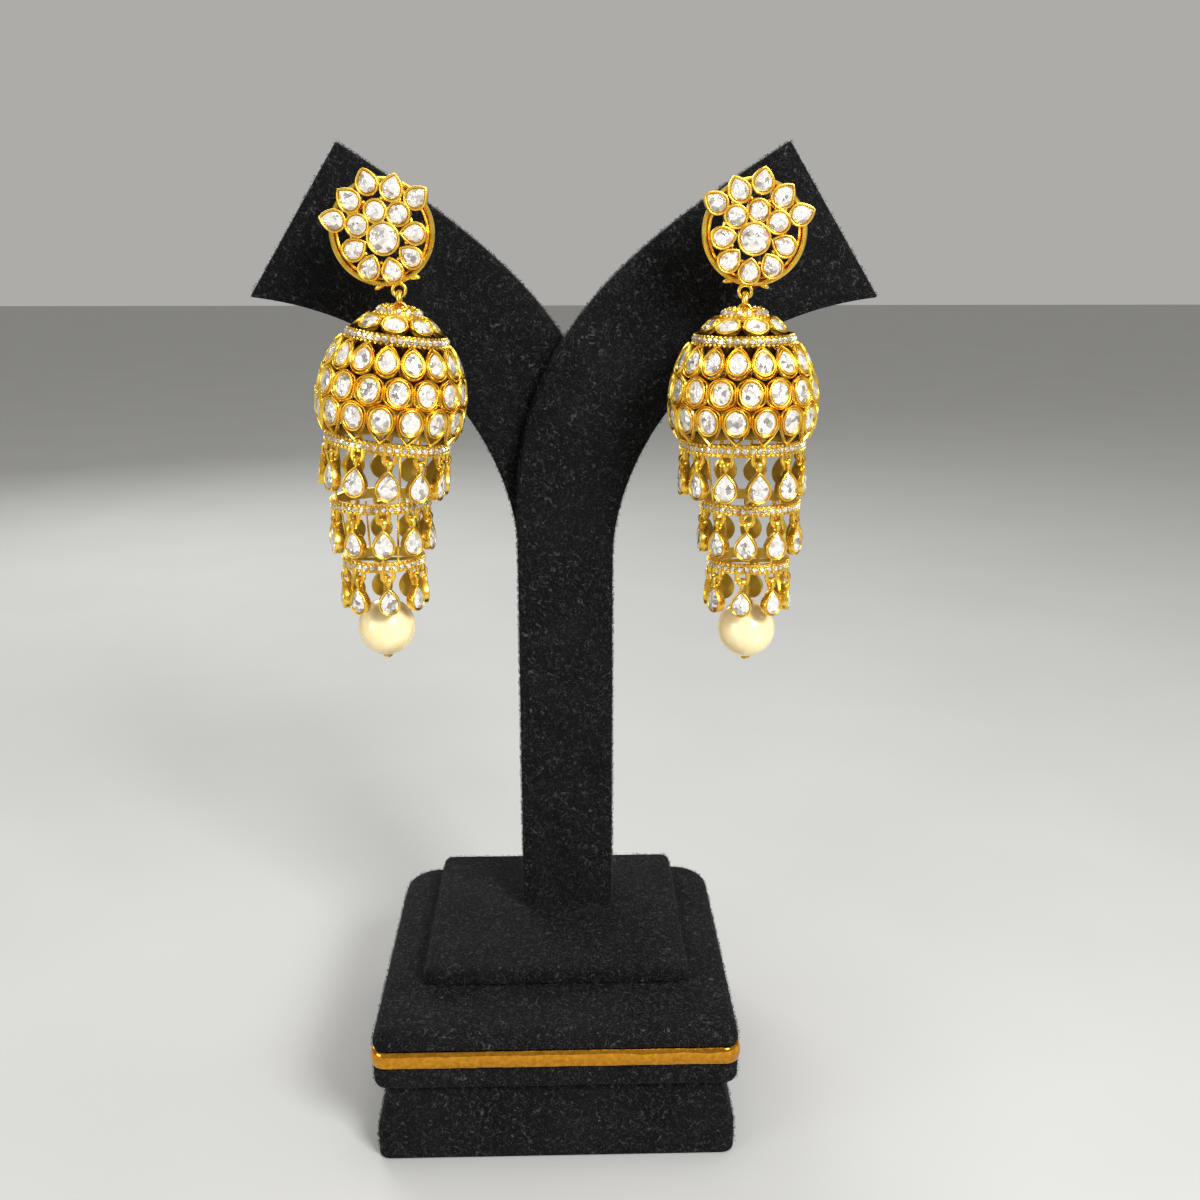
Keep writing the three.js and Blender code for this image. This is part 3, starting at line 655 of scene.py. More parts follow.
# %% Fibres scattered over a piece
def fibres(made, per_mm2, length, seed, keep=None):
    """Roots are picked by area: a triangle is drawn with a chance in proportion to its area, then a
    point in it at (1 - sqrt u) a + sqrt u (1 - v) b + sqrt u v c."""
    rng = np.random.default_rng(seed)
    corners = made["verts"][triangles(made)]
    cross = np.cross(corners[:, 1] - corners[:, 0], corners[:, 2] - corners[:, 0])
    area = np.linalg.norm(cross, axis=1) / 2
    count = int(area.sum() * per_mm2)
    picked = rng.choice(len(area), count, p=area / area.sum())
    u, v = np.sqrt(rng.random(count))[:, None], rng.random(count)[:, None]
    a, b, c = np.moveaxis(corners[picked], 1, 0)
    root = (1 - u) * a + u * (1 - v) * b + u * v * c
    normal = unit(cross[picked])
    if keep is not None:
        chosen = keep(root, normal)
        root, normal = root[chosen], normal[chosen]
        count = len(root)
    lie = unit(rng.normal(size=(count, 3)))
    lie = unit(lie - normal * np.einsum("ij,ij->i", lie, normal)[:, None])
    bend = np.cross(normal, lie)
    size = length * rng.uniform(0.6, 1.3, count)[:, None]
    rise = rng.uniform(0.12, 0.45, count)[:, None]
    waist = root + size * (0.5 * lie + rise * normal + rng.uniform(-0.3, 0.3, (count, 1)) * bend)
    tip = root + size * (0.85 * lie + rng.uniform(0.05, 0.5, (count, 1)) * normal)
    below = waist - 0.02 * normal
    around_waist = [waist + 0.045 * normal, below + 0.04 * bend, below - 0.04 * bend]
    verts = np.stack([root, *around_waist, tip], 1)
    start = 5 * np.arange(count)[:, None, None]
    faces = np.array([[0, 2, 1], [0, 3, 2], [0, 1, 3], [4, 1, 2], [4, 2, 3], [4, 3, 1]])
    return shape(verts, (), faces[None] + start)


def off_the_floor(root, normal):
    """Fibres are left off the undersides and off the last millimetre above the floor."""
    return (normal[:, 2] > -0.5) & (root[:, 2] > 1.0)


PILE_DENSITY = 3.2  # fibres on a square millimetre
PILE_LENGTH = 0.75
stand_pieces = {
    "base_plinth": plinth,
    "base_plate": plate,
    "base_step": step,
    "stand_right_arm": right_arm,
    "stand_left_arm": left_arm,
}
for seed, (name, made) in enumerate(stand_pieces.items()):
    make_piece(f"velvet_{name}", made, velvet, "display", [name], crease=60)
    pile = fibres(made, PILE_DENSITY, PILE_LENGTH, seed, off_the_floor)
    make_piece(f"pile_{name}", pile, fibre_finish, "display", smooth=False)
make_piece("foil_strip", strip(), strip_gold, "display", ["base_trim"])

# %% [markdown]
# ## Settings for the stones
# Every white stone sits in a cup of thin sheet whose rim is rolled over its edge. Cup, rolled rim and
# stone all follow one outline, an oval or a teardrop, moved outwards by some distance and lifted to
# some height. So one function gives the outline and one carries a profile round it.

# %% Outlines of ovals and teardrops
def outline(half_width, half_height, reach=0.0, sharp=1.6, count=20):
    """x = a cos t, y = b sin t, and over the middle y gains (reach - b) (1 - |cos t|)^sharp, which
    draws the top out to a point. The first point is that tip."""
    t = np.pi / 2 + np.linspace(0, 2 * np.pi, count, endpoint=False)
    x, y = half_width * np.cos(t), half_height * np.sin(t)
    if reach:
        y += np.where(np.sin(t) > 0, (reach - half_height) * (1 - np.abs(np.cos(t))) ** sharp, 0)
    return np.stack([x, y], -1)


def offset_rings(flat, profile):
    """The outline moved along its outward normals by each profile step's offset, at its height."""
    ahead = unit(np.roll(flat, -1, 0) - np.roll(flat, 1, 0))
    normal = np.stack([ahead[:, 1], -ahead[:, 0]], -1)
    return np.stack([lifted(flat + normal * offset, height) for offset, height in profile])


def cup(flat, rim, top, back, seat):
    """A closed cup: floor under the stone, a thin lip over its edge, a groove, an outer rim rolled to
    a half circle (r - r cos t, r sin t), and down to the back."""
    t = np.linspace(0, np.pi, 6)
    lip = 0.3 * rim
    half = (rim - lip) / 2
    rolled = zip(lip + half - half * np.cos(t), top - half + half * np.sin(t))
    under_lip = [(-0.12, seat), (-0.03, top - 0.9 * lip), (0.4 * lip, top - 0.5 * lip)]
    groove = (lip, top - half - 0.12)
    profile = [*under_lip, groove, *rolled, (rim * 0.95, back + 0.2), (rim * 0.6, back)]
    return skin(offset_rings(flat, profile))


def cut_stone(flat, seat, girdle, crown, seed, table=0.42):
    """Straight to the girdle, a sloped crown and a flat table. The crown's facets are two points of
    the outline wide, and each facet corner is nudged a little."""
    rng = np.random.default_rng(seed)
    count = len(flat)
    scales = [(1.0, seat), (1.0, girdle), (0.76, girdle + 0.62 * (crown - girdle)), (table, crown)]
    rows = np.stack([lifted(flat * scale, height) for scale, height in scales])
    rows[2:, :, :2] *= 1 + np.repeat(rng.uniform(-0.08, 0.08, (2, count // 2)), 2, axis=1)[..., None]
    rows[2:, :, 2] += np.repeat(rng.uniform(-0.07, 0.07, (2, count // 2)), 2, axis=1)
    return skin(rows)


def rhinestone_cut(radius, rise, sides=8):
    """A round crystal: girdle, one ring of crown facets and a table."""
    t = np.linspace(0, 2 * np.pi, sides, endpoint=False)
    circle = np.stack([np.cos(t), np.sin(t)], -1)
    rows = [(1.0, -0.2), (1.0, 0.1 * rise), (0.62, rise)]
    return skin(np.stack([lifted(radius * scale * circle, height) for scale, height in rows]))


sample = outline(1.6, 1.9)
print("a cup has", len(triangles(cup(sample, 0.4, 0.8, -0.3, 0.05))), "triangles,", end=" ")
print("its stone", len(triangles(cut_stone(sample, 0.1, 0.5, 0.8, 0))))

# %% [markdown]
# ## The studs
# A stud is a round wire that carries fourteen settings, soldered edge to edge into a flower: a round
# stone in the middle, three near it and ten teardrops round them. Behind lie a smaller ring, two small
# tabs and the ear post, and below hangs a loop. All of it is one soldered piece.

# %% Where the studs are and how their settings lie
STUDS = {
    "left": {"centre": (-29.2, -3.5, 154.9), "turn": -14.6},
    "right": {"centre": (30.9, -5.5, 154.9), "turn": 7.5},
}
# Name, distance from the middle, angle from the top, width, where a teardrop's tip looks
SETTINGS = [
    ("centre", 1.1, 180, 5.5, "none"),
    ("inner_top", 3.3, 0, 3.9, "none"),
    ("inner_right", 3.95, 61, 4.0, "none"),
    ("inner_left", 3.95, -61, 4.0, "none"),
    ("outer_top", 7.6, 0, 3.8, "out"),
    ("outer_top_right", 6.75, 31, 3.9, "out"),
    ("outer_top_left", 6.75, -31, 3.9, "out"),
    ("outer_right", 7.6, 62.5, 3.8, "out"),
    ("outer_left", 7.6, -62.5, 3.8, "out"),
    ("lower_right", 5.45, 107.5, 3.8, "in"),
    ("lower_left", 5.45, -107.5, 3.8, "in"),
    ("low_right", 6.3, 145, 3.8, "in"),
    ("low_left", 6.3, -145, 3.8, "in"),
    ("bottom", 6.55, 180, 3.8, "in"),
]
RIM_RADIUS, RIM_WIRE, LOOP_RADIUS, LOOP_WIRE = 8.15, 0.42, 1.05, 0.32
LOOP_DROP = 9.46  # from the stud's middle to the middle of its loop
BEZEL_RIM = 0.54
# Where granules fill the gaps between the settings: distance from the middle, angle from the top
GRANULES = ((5.2, 17), (5.25, -16), (5.9, 47), (5.85, -47), (4.3, 128), (4.3, -128), (4.9, 163))


def in_plane(radius, angle):
    """A place on the stud's face, by its distance and its angle clockwise from the top."""
    turn = math.radians(angle)
    return np.array([radius * math.sin(turn), radius * math.cos(turn), 0.0])


def plane_turn(angle):
    """A frame turned clockwise in the stud's face: across, up and out."""
    c, s = math.cos(math.radians(angle)), math.sin(math.radians(angle))
    return np.array([[c, -s, 0], [s, c, 0], [0, 0, 1]])


def setting_outline(width, point):
    """The stone's outline, inside the rolled rim."""
    half = width / 2 - BEZEL_RIM
    reach = 0.0 if point == "none" else width * 0.72 - 1.3 * BEZEL_RIM
    return outline(half, half, reach, count=24)


def stud_settings():
    """All cups and all stones of one stud, in the plane of its face, tips turned to their angles."""
    cups, stones = [], []
    for number, (name, radius, angle, width, point) in enumerate(SETTINGS):
        flat = setting_outline(width, point)
        if point == "none":
            flat = flat * np.array([1.0, 1.0 + 0.04 * math.sin(number)])
        rows = plane_turn(angle + (180 if point == "in" else 0))
        place = in_plane(radius, angle)
        cups.append(moved(cup(flat, BEZEL_RIM, 1.5, -0.6, 0.1), place, rows))
        stones.append(moved(cut_stone(flat, 0.12, 1.4, 2.0, number), place, rows))
    return joined(cups), joined(stones)


def stud_wires():
    """The rim, its second wire on the lower half, the ring behind, tabs, granules and the ear post."""
    rim = hoop(RIM_RADIUS, RIM_WIRE, 72)
    second = moved(hoop(RIM_RADIUS - 0.78, 0.24, 48, 6, -205, 230), (0, 0, -0.35))
    behind = moved(hoop(5.0, 0.3, 48, 6), (0, 0, -0.4))
    tab = ball(1.0, 12, 6)
    tab["verts"] *= (1.25, 0.45, 0.32)
    tabs = [moved(tab, (side * 2.7, -8.0, -0.45), plane_turn(side * 20)) for side in (-1, 1)]
    places = [in_plane(radius, angle) for radius, angle in GRANULES]
    granules = copies(ball(0.36, 8, 5), np.array(places) + (0, 0, 0.75))
    depths = np.array([-0.4, -5, -10, -14.0, -14.6, -14.8])
    post_path = np.stack([0 * depths, 0 * depths, depths], -1)
    post = tube(post_path, np.array([0.5, 0.5, 0.5, 0.5, 0.42, 0.25]), (1, 0, 0), sides=12)
    return joined([rim, second, behind, *tabs, granules, post])


def loop_middle(stud):
    """The middle of the loop under the stud, which stays upright however the stud is turned."""
    turn = math.radians(stud["turn"])
    return np.array(stud["centre"]) - LOOP_DROP * np.array([math.sin(turn), 0, math.cos(turn)])


cups, stones = stud_settings()
wires = stud_wires()
for side, stud in STUDS.items():
    facing = plane_turn(stud["turn"]) @ FACING
    loop = moved(hoop(LOOP_RADIUS, LOOP_WIRE, 32, 10), loop_middle(stud), FACING)
    metal = joined([moved(joined([cups, wires]), stud["centre"], facing), loop])
    set_stones = moved(stones, stud["centre"], facing)
    make_piece(f"{side}_stud_metal", metal, gold, "display", [f"{side}_stud_frame"])
    names = [f"{side}_stone_{setting[0]}" for setting in SETTINGS]
    make_piece(f"{side}_stud_stones", set_stones, stone_finish, "display", names, smooth=False)

# %% [markdown]
# ## The bail
# Between the stud's loop and the bell hangs a bail: a strap of wire closed on itself, seen edge-on.
# It is wider at the top, where it lies over the loop, and it is the link about which the bell swings.

# %% The bail as a closed strap
BAIL_HALF_DEPTH, BAIL_HALF_HEIGHT = 0.95, 1.415
HOOK_SPAN = 0.92  # from the hinge up to the middle of the strap at its top


def bail():
    """An upright oval seen from the side: y = a sin t, z = b cos t. The strap is wider near the top."""
    t = np.linspace(0, 2 * np.pi, 36, endpoint=False)
    path = np.stack([0 * t, BAIL_HALF_DEPTH * np.sin(t), BAIL_HALF_HEIGHT * np.cos(t)], -1)
    wide = 0.4 + 0.12 * np.cos(t)
    return tube(path, 0.27, (1, 0, 0), wide, 10, ring=True)


for side in STUDS:
    pivot = joints[f"{side}_link_swing"]
    middle = pivot + np.array([0, 0, HOOK_SPAN - BAIL_HALF_HEIGHT])
    make_piece(f"{side}_strap", moved(bail(), middle), gold, f"{side}_link", [f"{side}_bail"])

# %% [markdown]
# ## The bell
# The bell is openwork: three rows of settings, each in a cell of wire soldered to its neighbours,
# between a lower and an upper band of small crystals, with a row of wide ovals and a paved crown on
# top. The rows are staggered like a honeycomb. One profile, from noted heights and radii, gives
# the surface, and everything is laid out on it by two numbers: the angle round the bell and the
# distance climbed along the profile.

# %% The bell's profile
# Height above the lower band's underside and radius of the wirework
BELL_NOTED = np.array([
    (0.0, 9.75), (1.4, 10.05), (2.6, 10.7), (3.9, 11.3), (5.3, 11.62), (7.4, 11.78), (9.95, 11.6),
    (12.3, 11.0), (14.65, 10.05), (16.0, 9.25), (17.2, 8.35), (18.4, 7.25), (20.0, 5.45), (21.3, 4.25),
    (22.3, 3.2), (22.8, 2.2),
])


def smooth_curve(noted, per_step=24, window=33):
    """Straight steps between the noted points, evened out by a moving average with soft ends."""
    at = np.linspace(0, len(noted) - 1, per_step * (len(noted) - 1) + 1)
    fine = np.stack([np.interp(at, np.arange(len(noted)), noted[:, k]) for k in (0, 1)], -1)
    weights = np.hanning(window + 2)[1:-1]
    weights /= weights.sum()
    half = window // 2
    ends = [2 * fine[:1] - fine[half:0:-1], fine, 2 * fine[-1:] - fine[-2 : -half - 2 : -1]]
    padded = np.concatenate(ends)
    return np.stack([np.convolve(padded[:, k], weights, "valid") for k in (0, 1)], -1)


bell_curve = smooth_curve(BELL_NOTED)
BELL_HEIGHT, BELL_RADIUS = bell_curve.T
BELL_CLIMB = np.concatenate([[0], np.cumsum(np.hypot(*np.diff(bell_curve, axis=0).T))])
RISE, WIDEN = np.gradient(BELL_HEIGHT, BELL_CLIMB), np.gradient(BELL_RADIUS, BELL_CLIMB)
print("the bell's profile is", round(float(BELL_CLIMB[-1]), 1), "mm long")


def climb_to(height):
    """The distance along the profile at which a height is reached."""
    return float(np.interp(height, BELL_HEIGHT, BELL_CLIMB))


def on_bell(angle, climb, out=0.0):
    """The point at an angle from the front and a climb along the profile, lifted off the surface by
    `out` along the profile's normal (rise, -widen)."""
    rise, widen = np.interp(climb, BELL_CLIMB, RISE), np.interp(climb, BELL_CLIMB, WIDEN)
    radius = np.interp(climb, BELL_CLIMB, BELL_RADIUS) + out * rise
    height = np.interp(climb, BELL_CLIMB, BELL_HEIGHT) - out * widen
    return np.stack([radius * np.sin(angle), -radius * np.cos(angle), height + 0 * angle], -1)


def front_frame(climb):
    """Across, up and out at the front of the bell."""
    rise = float(np.interp(climb, BELL_CLIMB, RISE))
    widen = float(np.interp(climb, BELL_CLIMB, WIDEN))
    return np.array([[1, 0, 0], [0, -widen, rise], [0, -rise, -widen]])

# %% [markdown]
# ### Rows of settings and their wire cells
# A cell is a strip of wire on edge, bent to a rounded hexagon or to a pointed oval, and its stone sits
# in it in a cup of its own. One cell and one cup are laid on the bell's front and carried round. Only
# the stones are made one by one, so that no two have quite the same facets.

# %% Rows of settings
def hexagon(half_width, slant_angle, slant_reach, power=9, count=32):
    """A rounded hexagon. Its radius at angle t is the p-norm of cos(t - side) / reach over its three
    pairs of sides, to the power -1, which rounds the corners off."""
    t = np.linspace(0, 2 * np.pi, count, endpoint=False)
    total = np.abs(np.cos(t) / half_width) ** power
    for side in (slant_angle, -slant_angle):
        total = total + np.abs(np.cos(t - np.radians(side)) / slant_reach) ** power
    return total[:, None] ** (-1 / power) * np.stack([np.cos(t), np.sin(t)], -1)


def wire_cell(flat, climb, wire=0.2, wide=0.45, lift=0.42):
    """A closed strip on edge round a cell: x becomes an angle at the row's own radius, y a climb."""
    radius = float(np.interp(climb, BELL_CLIMB, BELL_RADIUS))
    inner = flat * (1 - (wire + 0.02) / np.linalg.norm(flat, axis=1, keepdims=True))
    angle, up = inner[:, 0] / radius, climb + inner[:, 1]
    path = on_bell(angle, up, lift)
    normal = unit(on_bell(angle, up, lift + 1) - path)
    return tube(path, wire, normal, wide, 6, ring=True)


# Height of the row, how many, the stone's half width, half height and tip reach (0 for an oval), and
# the width of the cup's rim
BELL_ROWS = {
    "lower": {"height": 5.6, "count": 16, "stone": (1.6, 1.92, 0.0), "rim": 0.42},
    "middle": {"height": 10.05, "count": 16, "stone": (1.54, 1.84, 0.0), "rim": 0.44},
    "upper": {"height": 14.4, "count": 16, "stone": (1.44, 1.62, 2.1), "rim": 0.4},
    "crown": {"height": 19.85, "count": 8, "stone": (1.72, 1.4, 0.0), "rim": 0.46},
}


CELL_HALF = 2.31  # half the width of a cell in the two hexagon rows
CELL_SLANT = 62.5  # where its slanted sides face, in degrees


def cell_outline(row):
    """Each row's cell: pointed down to the lower band, a hexagon, pointed up to the upper band, oval."""
    if row == "lower":
        flat = hexagon(CELL_HALF, CELL_SLANT, 2.55)
        pointed = outline(CELL_HALF, 2.6, 3.95, count=32) * (1, -1)
        down = pointed[np.argsort(np.arctan2(pointed[:, 1], pointed[:, 0]) % (2 * np.pi))]
        return np.where(flat[:, 1:] < -0.05, down, flat)
    if row == "middle":
        return hexagon(CELL_HALF, CELL_SLANT, 2.5)
    if row == "upper":
        return outline(2.05, 2.5, 3.05, count=32)
    return outline(2.2, 1.65, count=28)


def bell_row(row, first):
    """One row of cells, cups and stones round the bell, its first at `first` degrees from the front."""
    made = BELL_ROWS[row]
    climb = climb_to(made["height"])
    half_width, half_height, reach = made["stone"]
    flat = outline(half_width, half_height, reach)
    rows, place = front_frame(climb), on_bell(np.array(0.0), climb, 0.0)
    setting = moved(cup(flat, made["rim"], 0.78, -0.35, 0.05), place, rows)
    cell = wire_cell(cell_outline(row), climb)
    stones = []
    for variant in range(made["count"]):
        stone = moved(cut_stone(flat, 0.08, 0.5, 0.82, 100 + variant), place, rows)
        stones.append(around(stone, 1, first + 360 * variant / made["count"]))
    return around(joined([cell, setting]), made["count"], first), joined(stones)


print("cells in a bell:", sum(row["count"] for row in BELL_ROWS.values()))

# %% [markdown]
# ### Bands of crystals and the crown
# A band is a shallow channel with a row of beads along each edge and a crystal at each step, held by
# small beads between them. The crown is a dished cap with rings of beads and a ring of crystals.

# %% Bands and crown
def crystal_band(radius, low, height, count, bead=0.29, gem=0.57, inner=0.5, flare=0.0):
    """A channel turned about the axis, crystals round it, a row of beads along each edge and four
    small beads that hold each crystal."""
    middle = low + height / 2
    foot = [(radius - inner, low), (radius + 0.02, low)]
    top = [(radius + 0.02 - flare, low + height), (radius - inner - flare, low + height)]
    channel = turned([*foot, (radius - 0.05, middle), *top])
    edge = height / 2 - bead * 0.9
    beads = []
    first, half_step = 1.5, 180 / count
    for sign in (-1, 1):
        bead_radius = radius + 0.22 - (flare if sign > 0 else 0)
        edge_bead = moved(ball(bead), (0, -bead_radius, middle + sign * edge))
        prong = moved(ball(0.16), (0, -radius - 0.3, middle + sign * 0.36 * gem))
        beads += [around(edge_bead, round(1.4 * count), first), around(prong, count, first + half_step)]
    crystal = moved(rhinestone_cut(gem, 0.36), (0, -radius - 0.06, middle), FACING)
    return joined([channel, *beads]), around(crystal, count, first)


# Radius, height, count and size of the beads in each ring of the crown
CROWN_BEADS = [
    (4.25, 21.05, 30, 0.32),
    (3.85, 21.6, 26, 0.27),
    (3.05, 22.6, 22, 0.3),
    (2.35, 22.85, 16, 0.3),
]


def crown():
    """A small dished cap, rings of beads, a ring of crystals and the eye that takes the bail."""
    cap_outside = [(4.3, 20.8), (4.0, 21.3), (3.4, 22.1), (2.7, 22.6)]
    cap_inside = [(2.2, 22.6), (2.7, 21.7), (3.8, 20.7)]
    cap = turned(cap_outside + cap_inside, 48)
    rings = []
    for radius, height, count, size in CROWN_BEADS:
        rings.append(around(moved(ball(size), (0, -radius, height)), count, 7 * radius))
    # The crystals lean back at about 45 degrees, as the cap does
    slope = np.array([[1, 0, 0], [0, 0.7, 0.71], [0, -0.71, 0.7]])
    crystal = moved(rhinestone_cut(0.52, 0.42), (0, -3.45, 22.1), slope)
    lid = turned([(0.4, 21.55), (2.3, 21.55), (2.3, 22.9), (2.1, 22.9), (2.1, 21.8), (0.4, 21.8)], 32)
    eye = moved(hoop(LOOP_RADIUS, LOOP_WIRE, 32, 10), (0, 0, 22.38), FACING)
    return joined([cap, lid, *rings, eye]), around(crystal, 14, 5)


print("the crown's crystals have", len(triangles(crown()[1])), "triangles")

# %% [markdown]
# ## Tiers of teardrops
# Under the lower band, and under each of two smaller bands, hangs a ring of teardrops. Each one hooks
# with a strap loop into a small wire loop soldered under the band. The loops could be plain rings,
# but the photograph shows a broad U seen from the front and a narrow strap seen edge-on through it,
# so both are wires with the section each needs. Each drop is turned a little by a seeded chance,
# because hanging drops never line up.

# %% One drop with its loops
DROP_RIM = 0.42
LOOP_BEND, LOOP_SIDES = 0.95, 0.82  # the U's radius, and where its bend starts under the band


def u_loop(top):
    """A U of wire under a band: two short straight sides and a half circle."""
    t = np.radians(np.linspace(0, 180, 11))
    bend = np.stack([LOOP_BEND * np.cos(t), -LOOP_SIDES - LOOP_BEND * np.sin(t), 0 * t], -1)
    path = np.concatenate([[(0.9, top, 0)], bend, [(-0.9, top, 0)]])
    return tube(path, 0.4, (0, 0, 1), sides=8)


def strap_loop(drop_tip):
    """A strap over the U and down to the drop's tip, seen edge-on: wide above, narrow below."""
    top, bottom = -1.05, -(drop_tip + 0.25)
    t = np.linspace(0, 2 * np.pi, 22, endpoint=False)
    middle, half = (top + bottom) / 2, (top - bottom) / 2
    depth = 0.62 * np.abs(np.sin(t)) ** 0.9 * np.sign(np.sin(t))
    path = np.stack([0 * t, middle + half * np.cos(t), depth * (1 + 0.25 * np.cos(t))], -1)
    return tube(path, 0.28, (1, 0, 0), 0.42 + 0.24 * np.cos(t), 8, ring=True)


def teardrop(width, length):
    """The drop's cup, its stone's outline and the distance from its round middle up to its tip."""
    half = width / 2 - DROP_RIM
    reach = length - width / 2
    flat = outline(half, half * 1.02, reach - 1.25 * DROP_RIM, count=24)
    return cup(flat, DROP_RIM, 0.78, -0.75, 0.05), flat, reach


def tier_drops(count, ring_radius, width, length, drop_tip, first, seed):
    """A ring of drops with their loops. Each drop turns up to 9 degrees about its strap and leans up
    to 2.5 degrees sideways."""
    rng = np.random.default_rng(seed)
    drop_cup, flat, reach = teardrop(width, length)
    loops = joined([u_loop(0.5), strap_loop(drop_tip)])
    metal = [around(moved(loops, (0, -ring_radius, 0), FACING), count, first)]
    stones = []
    for number in range(count):
        twist = math.radians(rng.uniform(-9, 9))
        lean = rng.uniform(-2.5, 2.5)
        c, s = math.cos(twist), math.sin(twist)
        twisted = np.array([[c, s, 0], [0, 0, 1], [s, -c, 0]])
        swung = plane_turn(lean) @ twisted
        place = np.array([0, -ring_radius, -drop_tip]) - reach * swung[1]
        stone = cut_stone(flat, 0.08, 0.62, 1.0, 300 + seed * 20 + number)
        at = first + 360 * number / count
        metal.append(around(moved(drop_cup, place, swung), 1, at))
        stones.append(around(moved(stone, place, swung), 1, at))
    return joined(metal), joined(stones)


def hangers(count, upper, lower):
    """Thin wires from a place on the upper ring to the ring below; upper and lower are (radius, z)."""
    share = np.linspace(0, 1, 5)[:, None]
    path = (1 - share) * np.array([0, -upper[0], upper[1]]) + share * np.array([0, -lower[0], lower[1]])
    return around(tube(path, 0.2, (1, 0, 0), sides=6), count, 30)


print("a drop is", extent(teardrop(4.1, 5.3)[0]), "mm")

# %% [markdown]
# ## Both earrings
# The two earrings hang as the photograph shows them: each bell leans a little, while the rings below
# it hang almost plumb, and the rows and drops are turned differently on each. Everything is made about
# an upright axis first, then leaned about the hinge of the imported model.

# %% How the earrings hang
# The bell's lean in degrees, how far the rings below are off it in mm, the turn of each row of the
# bell and of each tier's first drop, in degrees from the front
HANG = {
    "left": {"lean": 7.6, "hang": -1.5, "rows": (0.0, 11.25, 0.0, 1.0), "drops": (9.5, 9.3, 12.8)},
    "right": {"lean": -0.6, "hang": 1.6, "rows": (10.0, -1.5, 10.0, 11.0), "drops": (8.0, -10.5, -16.0)},
}
BELL_FOOT = -22.51  # the lower band's underside, below the hinge
LOWER_BAND = {"radius": 10.18, "low": -0.25, "height": 2.0, "count": 52}
UPPER_BAND = {"radius": 8.2, "low": 17.05, "height": 1.8, "count": 42, "inner": 0.25, "flare": 0.35}
WALL_HEIGHT, WALL_RADIUS = 17.95, 7.65  # the middle of the upper band's inner wall
BAND_HEIGHT, TIER_PITCH = 1.4, 10.2
# How many drops on what ring, their width and length, how far below the ring their tips hang, and how
# many crystals the ring's own band has
TIERS = [
    {"count": 12, "ring": 10.05, "width": 4.1, "length": 5.3, "tip": 2.5, "gems": 0},
    {"count": 10, "ring": 8.05, "width": 3.9, "length": 4.95, "tip": 2.6, "gems": 42},
    {"count": 8, "ring": 6.55, "width": 3.75, "length": 4.8, "tip": 2.75, "gems": 34},
]
BAR_HALF = 6.3  # half the bar across the last ring, which carries the pearl's pin
RECESS = 0.1  # metal further in than this under the tops of the settings is dull and gets painted shade
CROWN_FOOT = 20.6  # above this the bell's metal is all outside
BACK_PAINTED_SHADE_AND_DULLNESS = 0.6  # how much the backs of the drops are dulled and given painted shade, where 1 is the bell's inside
print("an earring has", sum(tier["count"] for tier in TIERS), "drops")

# %% [markdown]
# ### Lean and painted shade inside
# A lean is a turn about the hinge. The painted shade inside is worked out while the part is still
# upright, because there a point's distance from the axis says whether it lies inside.

# %% Lean and painted shade inside
def leaning(made, hinge, lean):
    """Turned about the hinge by the lean: x' = x cos + z sin, z' = z cos - x sin."""
    c, s = math.cos(math.radians(lean)), math.sin(math.radians(lean))
    return moved(made, hinge, [[c, 0, -s], [0, 1, 0], [s, 0, c]])


def inside_of(points, surface):
    """How far inside a ring or bell a point lies: 0 as far as 0.1 mm inside, 1 from 0.3 mm inside."""
    return np.clip((surface - np.hypot(points[:, 0], points[:, 1]) - 0.1) / 0.2, 0, 1)


def mark_painted_shade(piece, inside):
    """The `inside` attribute that the gold plating reads: painted shade and more roughness where it is
    high.
    """
    piece.data.attributes.new("inside", "FLOAT", "POINT").data.foreach_set("value", inside)

# %% [markdown]
# ### One bell
# The rows, the two bands and the crown become two pieces, one of metal and one of white stones. The
# crystals wait for those of the rings below, because all the crystals of an earring are one piece.

# %% One bell
def bell(side):
    """Rows, bands and crown, with heights counted from the lower band's underside."""
    metal, white = [], []
    for row, first in zip(BELL_ROWS, HANG[side]["rows"]):
        wirework, stones = bell_row(row, first)
        metal.append(wirework)
        white.append(stones)
    lower, lower_gems = crystal_band(**LOWER_BAND)
    upper, upper_gems = crystal_band(**UPPER_BAND)
    top, top_gems = crown()
    metal += [lower, upper, top]
    return joined(metal), joined(white), joined([lower_gems, upper_gems, top_gems])


def bell_painted_shade(made):
    """The bell's inside lies under the tops of its settings and gets painted shade. The upper band's
    inner wall lies further out than that, so it is picked by its place."""
    x, y, height = made["verts"].T
    surface = np.interp(height, BELL_HEIGHT, BELL_RADIUS)
    inside = np.where(height < CROWN_FOOT, inside_of(made["verts"], surface + RECESS), 0.0)
    at_wall = (np.abs(height - WALL_HEIGHT) < 1.0) & (np.abs(np.hypot(x, y) - WALL_RADIUS) < 0.35)
    inside[at_wall] = 1.0
    return inside


def hang_bell(side, hinge, lean):
    """Makes the bell's metal and its white stones, and gives back its crystals."""
    metal, white, small = bell(side)
    inside = bell_painted_shade(metal)
    metal, white, small = (
        leaning(moved(part, (0, 0, BELL_FOOT)), hinge, lean) for part in (metal, white, small)
    )
    body = f"{side}_drop"
    shell = make_piece(f"{side}_bell_metal", metal, gold, body, [f"{side}_dome"])
    mark_painted_shade(shell, inside)
    make_piece(f"{side}_bell_stones", white, stone_finish, body, smooth=False)
    return small

# %% [markdown]
# ### One tier
# A tier is its drops. The second and the third also have a band of crystals and four thin wires up to
# the ring above, and the third has the bar that carries the pearl.

